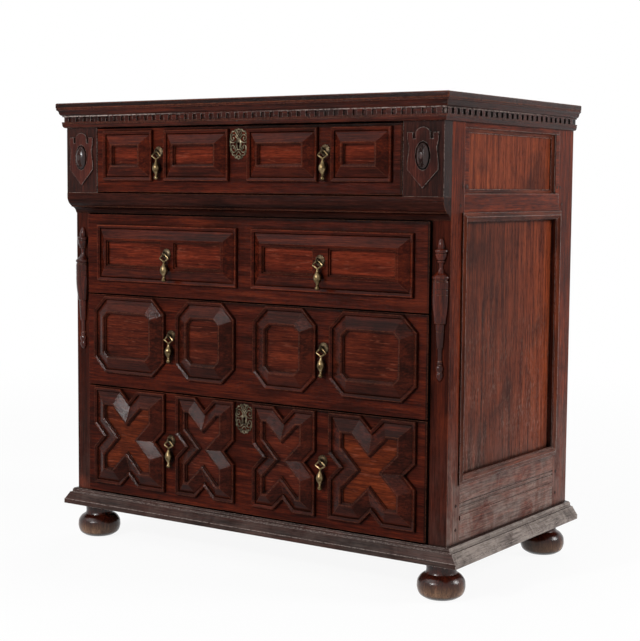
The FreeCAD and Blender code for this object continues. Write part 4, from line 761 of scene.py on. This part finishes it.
SPINDLE_SIDES = 20
SPINDLE_PROFILE = outline(
    [(0, 0.4), (-1.5, 3), (-5, 5.4), (-10, 7.4), (-16, 8.4), (-21, 8)],
    [(-22, 11), (-23.5, 13.6), (-26, 14.4), (-28.5, 13.8), (-30, 12)],
    [(-30.5, 13), (-36, 12.4), (-42.7, 9.2)],
    [(-43.2, 7.4), (-44.2, 9), (-45.8, 9.4), (-47.4, 8.6), (-48, 7)],
    [(-48.5, 6.2), (-53, 5.2), (-58, 5.3), (-63, 7), (-68, 11), (-71, 14.4), (-73, 16)],
    [(-73.4, 16.6), (-74.5, 17.5), (-77.5, 17.5), (-79, 16.6)],
    [(-80, 15.6), (-81.4, 15.6)],
    [(-82, 17), (-83, 17)],
    [(-83.6, 16), (-84.2, 17)],
    [(-97, 17), (-97.6, 16)],
    [(-98.2, 17), (-107.4, 17)],
    [(-108, 16), (-108.6, 17)],
    [(-109, 17), (-125, 16.8), (-140, 15.6), (-155, 13.8), (-163, 13)],
    [(-164, 11.2), (-165, 10)],
    [(-165.5, 10), (-172, 10.2), (-178, 9.8)],
    [(-178.4, 9), (-179, 9.8)],
    [(-180, 9.8), (-190, 9.3), (-202, 8.3), (-210, 7.5)],
    [(-211, 5.5), (-222, 5), (-236, 5.2)],
    [(-237, 6), (-238.6, 6.8), (-240.6, 6.6), (-242, 5.6)],
    [(-243, 5.8), (-245, 7.6), (-249, 8.8), (-253, 8.2), (-256, 6.8)],
    [(-256.5, 6.8), (-262, 8.4), (-268, 7), (-273, 3.4), (-275, 0.4)],
)
spindles = Shape()
for low, high in islands("split_spindles"):
    spindles.at(((low.x + high.x) / 2, high.y, high.z))
    spindles.upright(SPINDLE_PROFILE, SPINDLE_SIDES, half=True)
spindles.make("turned_spindles", turned_oak, "carcass", "moulding_oak", ["split_spindles"])

# The plaques' solids are blocks, shields and bosses, and only a boss is this narrow, in metres.
BOSS_WIDEST = 0.032
BOSS_RISE = 11.3
BOSS_HALF = (14.5, 25.5)
BOSS_STEPS, BOSS_SIDES = 12, 40
BOSS_TIP, BOSS_CURVE = 0.02, 0.9
bosses = Shape()
for low, high in islands("corner_plaques"):
    if high.x - low.x > BOSS_WIDEST:
        continue
    bosses.at(((low.x + high.x) / 2, high.y, (low.z + high.z) / 2))
    rows = []
    for step in range(BOSS_STEPS + 1):
        lift = math.pi / 2 * step / BOSS_STEPS
        share = max(math.cos(lift), BOSS_TIP) ** BOSS_CURVE
        row = []
        for side in range(BOSS_SIDES):
            turn = math.tau * side / BOSS_SIDES
            across, up = math.cos(turn) * BOSS_HALF[0], math.sin(turn) * BOSS_HALF[1]
            row.append((across * share, -math.sin(lift) * BOSS_RISE, up * share))
        rows.append(row)
    bosses.skin(rows, capped=True)
bosses.make("plaque_bosses", boss_oak, "carcass", "moulding_oak")

BACK_SPACE = 0.02


def surround(name, profile, side_reach, front_reach):
    """A moulding led round a node's front and two sides.

    The profile is (proud, rise), with proud as a share of the moulding's reach."""
    low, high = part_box(name)
    shape = Shape((0, 0, low.z))
    back = high.y / MM - BACK_SPACE
    rows = [[], [], [], []]
    for proud, rise in profile:
        left = low.x / MM + (1 - proud) * side_reach
        right = high.x / MM - (1 - proud) * side_reach
        front = low.y / MM + (1 - proud) * front_reach
        corners = ((left, back), (left, front), (right, front), (right, back))
        for row, (across, deep) in zip(rows, corners):
            row.append((across, deep, rise))
    shape.skin(rows, capped=True)
    return shape


SURROUND_SHARP = 24
BAND_REACH = (7.0, 7.0)
OVOLO = [
    (0.3, 0.4), (0.43, 0.2), (0.66, 1.0), (0.86, 2.8), (0.99, 5.2), (1.04, 7.8), (1.04, 9.2), (0.99, 9.6),
    (1.11, 10.2), (1.11, 12.6), (1.06, 13.0), (0.3, 13.0),
]
ovolo = surround("dentil_moulding", OVOLO, *BAND_REACH)
ovolo.make("dentil_ovolo", ovolo_oak, "carcass", "moulding_oak", sharp=SURROUND_SHARP)

BASE_REACH = (30.0, 16.0)
BASE_SLOPE = [
    (0.3, 24.0), (0.44, 26.6), (0.58, 26.6), (0.61, 25.8), (0.63, 24.4), (0.8, 17.0), (0.93, 11.4),
    (0.98, 10.0), (0.6, 9.0), (0.3, 14.0),
]
slope = surround("base_moulding", BASE_SLOPE, *BASE_REACH)
slope.make("base_slope", base_oak, "carcass", "moulding_oak", sharp=SURROUND_SHARP)

HALF_MITRE = math.tan(math.pi / 8)
DIAGONAL = math.sqrt(2)
OCTAGON_CHAMFER = 33
STAR_NOTCH = 25
CREST_TOLERANCE = 0.0002
PANEL_SHARP = 12
# Each section is (inward, rise): the bead from the panel's edge, and the lip from its highest line.
BEAD_EDGE = [(-0.3, 0.2), (-0.3, 4.0), (0.5, 6.9), (1.6, 7.9), (2.6, 7.9), (7.3, 5.45), (7.7, 2.2), (7.7, 0.2)]
LIP_EDGE = [(-0.4, 14.0), (0.3, 15.3), (0.9, 15.3), (4.2, 13.6), (4.4, 9.0), (-0.4, 9.0)]


def rectangle(left, right, low, high, inward):
    near, far, foot, head = left + inward, right - inward, low + inward, high - inward
    return [(near, foot), (far, foot), (far, head), (near, head)]


def octagon(left, right, low, high, inward):
    near, far, foot, head = left + inward, right - inward, low + inward, high - inward
    leg = OCTAGON_CHAMFER + inward * HALF_MITRE
    line = [(left + leg, foot), (right - leg, foot), (far, low + leg), (far, high - leg)]
    return line + [(right - leg, head), (left + leg, head), (near, high - leg), (near, low + leg)]


def star(left, right, low, high, inward):
    """A square with a notch in the middle of each side."""
    near, far, foot, head = left + inward, right - inward, low + inward, high - inward
    across, up = (left + right) / 2, (low + high) / 2
    mouth = STAR_NOTCH + inward * HALF_MITRE
    tip = STAR_NOTCH + inward * DIAGONAL
    line = [(near, foot), (across - mouth, foot), (across, low + tip), (across + mouth, foot)]
    line += [(far, foot), (far, up - mouth), (right - tip, up), (far, up + mouth)]
    line += [(far, head), (across + mouth, head), (across, high - tip), (across - mouth, head)]
    return line + [(near, head), (near, up + mouth), (left + tip, up), (near, up - mouth)]


def crest_inset(name, low, high):
    """How far in from a panel's edge its highest line lies."""
    inner = high.x
    for vertex in nodes[name].data.vertices:
        if vertex.co.y < low.y + CREST_TOLERANCE and low.x < vertex.co.x < high.x:
            inner = min(inner, vertex.co.x)
    return (inner - low.x) / MM


PANEL_LINES = {1: rectangle, 2: rectangle, 3: octagon, 4: star}
LIPPED = (1, 3, 4)
for number, line in PANEL_LINES.items():
    drawer = "drawer_%d" % number
    name = drawer + "_mouldings"
    edges = Shape()
    for low, high in islands(name):
        edges.at((0, high.y, 0))
        span = (low.x / MM, high.x / MM, low.z / MM, high.z / MM)
        sections = [BEAD_EDGE]
        if number in LIPPED:
            inset = crest_inset(name, low, high)
            sections.append([(inset + inward, rise) for inward, rise in LIP_EDGE])
        for section in sections:
            rows = []
            for inward, rise in section:
                rows.append([(across, -rise, up) for across, up in line(*span, inward)])
            edges.skin(rows, looped=True)
    edges.make("panel_edges_" + drawer, panel_oaks[number], drawer, "moulding_oak", sharp=PANEL_SHARP)

X_AXIS = (1, 0, 0)
Y_AXIS = (0, 1, 0)
EYE_WIRE = 1.6
EYE_BEND, EYE_STEPS = 1.6, 4
EYE_LINE = [(-3.5, 0, 0), (-12, 0, -8), (0, 0, -15), (12, 0, -8), (3.5, 0, 0)]
DROP_SIDES = 28
DROP_PROFILE = outline(
    [(-13.6, 1.2), (-14.4, 2.6), (-16.5, 2.5), (-19, 2.7), (-22.5, 4.4), (-26, 6.6), (-30, 8.1), (-32.4, 8.5)],
    [(-32.6, 8.7), (-33.8, 8.6)],
    [(-34, 8.4), (-37, 7.9), (-41, 6), (-44.5, 3.6), (-47, 2.8)],
    [(-47.4, 3.2), (-48.2, 3.4), (-49, 3)],
    [(-49.4, 3.2), (-51.5, 4.9), (-53.4, 5.4), (-55.6, 4.6), (-57.2, 2.8), (-58, 0.4)],
)
for joint in frame["joints"]:
    if joint["type"] != "hinge":
        continue
    drop = Shape(joint["pos_m"])
    drop.tube(rounded_loop(EYE_LINE, EYE_BEND, EYE_STEPS), EYE_WIRE, Y_AXIS, closed=True)
    drop.upright(DROP_PROFILE, DROP_SIDES)
    name = joint["child"]
    drop.make("pear_" + name, brass, name, "brass", [name])

ROSETTE_RADIUS = 12.0
ROSETTE_SIDES, ROSETTE_LOBES, ROSETTE_SCALLOP = 60, 12, 0.12
ROSETTE_PROFILE = [
    (0, 12), (0.8, 12), (1.5, 11.4), (1.8, 10), (1.7, 8.6), (2.0, 7.8), (2.6, 6.6), (3.0, 4.8), (3.0, 1.5),
]
STAPLE_RADIUS = 4.6
STAPLE_WIRE = 1.4
STAPLE_REACH = 9.2
STAPLE_STEPS = 28
SHANK_SIDES = 12
staple_ring = []
for step in range(STAPLE_STEPS):
    turn = math.tau * step / STAPLE_STEPS
    staple_ring.append(Vector((0, math.cos(turn), math.sin(turn))) * STAPLE_RADIUS)
for number in DRAWERS:
    drawer = "drawer_%d" % number
    name = drawer + "_pull_mounts"
    low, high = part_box(name)
    middle = (low.z + high.z) / 2
    staple_y = low.y + (STAPLE_RADIUS + STAPLE_WIRE) * MM
    length = (high.y - staple_y) / MM
    shank = [Vector((0, STAPLE_RADIUS + share * (length - STAPLE_RADIUS), 0)) for share in (0, 0.5, 1)]
    mounts = Shape()
    for sign in (-1, 1):
        x = sign * (high.x - ROSETTE_RADIUS * MM)
        mounts.at((x, staple_y + STAPLE_REACH * MM, middle))
        mounts.facing(ROSETTE_PROFILE, ROSETTE_SIDES, lobes=ROSETTE_LOBES, scallop=ROSETTE_SCALLOP)
        mounts.at((x, staple_y, middle))
        mounts.tube(staple_ring, STAPLE_WIRE, X_AXIS, closed=True)
        mounts.tube(shank, STAPLE_WIRE, X_AXIS, sides=SHANK_SIDES)
    mounts.make("staples_" + drawer, dull_brass, drawer, "brass", [name])

# One half of the plate: the right-hand scrolls and edge, then the knobs, all as (across, up).
SCROLLS = [
    [(2.6, 8), (6, 14), (11, 18.5), (17, 17.5), (19.5, 12), (16.5, 7.5), (12.6, 9), (12.6, 12.4), (15, 13.2)],
    [
        (2.6, -10), (7, -15), (12.5, -17), (17.6, -13), (18.8, -6), (15, -2.4), (11.4, -4.6), (11.8, -8.2),
        (14.4, -8.6),
    ],
    [(6, 6.4), (10.4, 3.2), (14, 2.6), (18.6, 3.4), (21.6, 7.5)],
    [(5.6, -5.6), (8.8, -9.6), (8.2, -13.2)],
    [(0.6, 13.4), (4.4, 18), (7.6, 23.4), (4.6, 26.6), (2, 23.6), (3.6, 21.4)],
    [(0.6, -15.4), (4.6, -20), (6.6, -24), (3.4, -26.6), (1.6, -23.6)],
    [(0, 30.6), (3.8, 28.8), (8.6, 29.2), (11.6, 25), (16, 25.4), (18, 21.2), (21.6, 19.4)],
    [
        (21.6, 19.4), (20.8, 13.4), (22.4, 8), (20.8, 2.4), (22.2, -3.4), (20.2, -9), (20.6, -14.4),
        (16.4, -17.8),
    ],
    [(16.4, -17.8), (15.2, -22.4), (10.4, -23.4), (8.6, -28), (4, -28.4), (0, -31)],
]
SCROLL_STEPS = 5
SCROLL_WIRE, SCROLL_RISE, SCROLL_FLATTEN = 1.15, 0.9, 0.8
KNOBS = [
    (0, 29.8), (8.6, 28.6), (16, 24.8), (21, 19), (21.6, 8), (21.4, -3.4), (19.8, -14), (10.4, -23), (4, -28),
    (0, 19.4),
]
KNOB_SIDES = 12
KNOB_PROFILE = [(0, 1.9), (0.9, 1.9), (1.7, 1.3), (2.0, 0.3)]
KEYHOLE_RADIUS = 3.8
KEYHOLE_FOOT = (3.0, -10.4)
SLOT_ACROSS, SLOT_UP = 0.6, -0.8
PLATE_HALF = (7.0, 12.8)
PLATE_STEPS = 48
# The plate's section, from the keyhole's rim outwards: (share of the way, rise).
PLATE_SECTION = [(0.0, 0.2), (0.0, 1.5), (0.75, 1.7), (1.0, 1.2), (1.0, 0.2)]


def keyhole_rim(turn):
    """A point on the keyhole's edge: a round head with a slot that widens downwards."""
    across, up = math.sin(turn), math.cos(turn)
    if up > SLOT_UP:
        return across * KEYHOLE_RADIUS, up * KEYHOLE_RADIUS
    return math.copysign(KEYHOLE_FOOT[0], across) * abs(across) / SLOT_ACROSS, KEYHOLE_FOOT[1]


for number in LOCKED:
    drawer = "drawer_%d" % number
    name = drawer + "_escutcheon"
    low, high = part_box(name)
    x, z = (low.x + high.x) / 2, (low.z + high.z) / 2
    plate = Shape((x, high.y, z))
    for scroll in SCROLLS:
        for sign in (-1, 1):
            line = smooth_line([(sign * across, -SCROLL_RISE, up) for across, up in scroll], SCROLL_STEPS)
            plate.tube(line, SCROLL_WIRE, Y_AXIS, flatten=SCROLL_FLATTEN)
    for across, up in KNOBS:
        for sign in ((-1, 1) if across else (1,)):
            plate.at((x + sign * across * MM, high.y, z + up * MM))
            plate.facing(KNOB_PROFILE, KNOB_SIDES)
    plate.at((x, high.y, z))
    rows = []
    for share, rise in PLATE_SECTION:
        row = []
        for step in range(PLATE_STEPS):
            turn = math.tau * (step + 0.5) / PLATE_STEPS
            across, up = keyhole_rim(turn)
            wide, tall = math.sin(turn) * PLATE_HALF[0], math.cos(turn) * PLATE_HALF[1]
            row.append((across + (wide - across) * share, -rise, up + (tall - up) * share))
        rows.append(row)
    plate.skin(rows, looped=True)
    plate.make("scroll_plate_" + drawer, dark_brass, drawer, "dark_brass", [name])

AIM = (0.0, -0.1, 0.5)
# For each lamp, its place, its size and its watts.
LAMPS = {
    "key_light": ((-0.42, -2.95, 1.7), (0.24, 0.36), 50),
    "fill_light": ((0.25, -2.95, 1.75), (0.6, 0.5), 15),
    "soft_light": ((-1.7, -2.6, 3.3), (3.0, 2.6), 52),
    "side_light": ((2.9, 1.1, 1.7), (1.0, 1.0), 67),
    "back_light": ((-1.0, 3.2, 2.8), (2.0, 2.0), 45),
}
for name, (place, size, power) in LAMPS.items():
    data = bpy.data.lights.new(name, "AREA")
    data.shape = "RECTANGLE"
    data.size, data.size_y = size
    data.energy = power
    item = add_object(name, data)
    item.location = place
    item.rotation_euler = (Vector(AIM) - Vector(place)).to_track_quat("-Z", "Y").to_euler()


def seen_by_eye(graph):
    """One where a ray comes from the camera, a reflection or a clear piece."""
    rays = graph.add("ShaderNodeLightPath")
    either = graph.math("MAXIMUM", rays.outputs["Is Camera Ray"], rays.outputs["Is Glossy Ray"])
    return graph.math("MAXIMUM", either, rays.outputs["Is Transmission Ray"])


FLOOR_HALF = 9.0
FLOOR_COLOUR = (0.86, 0.86, 0.86, 1)
FLOOR_ROUGH = 0.9
FLOOR_NEAR = 0.92
FLOOR_FADE = (1.2, 3.5)


def make_floor():
    """A pale floor that takes a faint shadow near the chest and runs out to plain white."""
    mesh = bpy.data.meshes.new("floor")
    corners = [(x * FLOOR_HALF, y * FLOOR_HALF, 0.0) for x, y in ((-1, -1), (1, -1), (1, 1), (-1, 1))]
    mesh.from_pydata(corners, [], [(0, 1, 2, 3)])
    item = add_object("floor", mesh)
    paint = Paint("pale_floor")
    paint.coat({"Base Color": FLOOR_COLOUR, "Roughness": FLOOR_ROUGH})
    glow = paint.add("ShaderNodeEmission", {"Color": WHITE, "Strength": 1.0})
    far = paint.fade(paint.vector("LENGTH", paint.place).outputs["Value"], *FLOOR_FADE)
    share = paint.math("ADD", FLOOR_NEAR, paint.product(far, 1 - FLOOR_NEAR))
    seen = paint.product(seen_by_eye(paint), share)
    blend = paint.add("ShaderNodeMixShader", {0: seen, 1: paint.shader.outputs[0], 2: glow.outputs[0]})
    paint.feed(paint.tree.nodes["Material Output"].inputs[0], blend.outputs[0])
    mesh.materials.append(paint.material)


make_floor()

AMBIENT = (0.17, 0.17, 0.175, 1)


def make_world():
    """A world that is white to the eye and lights the chest with a low, even light."""
    world = bpy.data.worlds.new("studio")
    bpy.context.scene.world = world
    world.use_nodes = True
    graph = Graph(world.node_tree)
    base = graph.tree.nodes["Background"]
    graph.feed(base.inputs[0], AMBIENT)
    white = graph.add("ShaderNodeBackground", {0: WHITE})
    values = {0: seen_by_eye(graph), 1: base.outputs[0], 2: white.outputs[0]}
    blend = graph.add("ShaderNodeMixShader", values)
    graph.feed(graph.tree.nodes["World Output"].inputs[0], blend.outputs[0])


make_world()

CAMERA_PLACE = (1.8533, -2.6861, 0.7978)
CAMERA_YAW = math.radians(34.35)
CAMERA_PITCH = math.radians(5.16)
CAMERA_ROLL = math.radians(0.46)
CAMERA_LENS = 83.4
CAMERA_SENSOR = 36.0


def make_camera():
    """The camera that was fitted to the photograph."""
    data = bpy.data.cameras.new("camera")
    data.sensor_fit = "HORIZONTAL"
    data.sensor_width = CAMERA_SENSOR
    data.lens = CAMERA_LENS
    item = add_object("camera", data)
    turn = Matrix.Rotation(CAMERA_YAW, 4, "Z") @ Matrix.Rotation(math.pi / 2 - CAMERA_PITCH, 4, "X")
    turn = turn @ Matrix.Rotation(CAMERA_ROLL, 4, "Z")
    item.matrix_world = Matrix.Translation(CAMERA_PLACE) @ turn
    bpy.context.scene.camera = item


make_camera()
bpy.context.scene.view_settings.view_transform = "Standard"
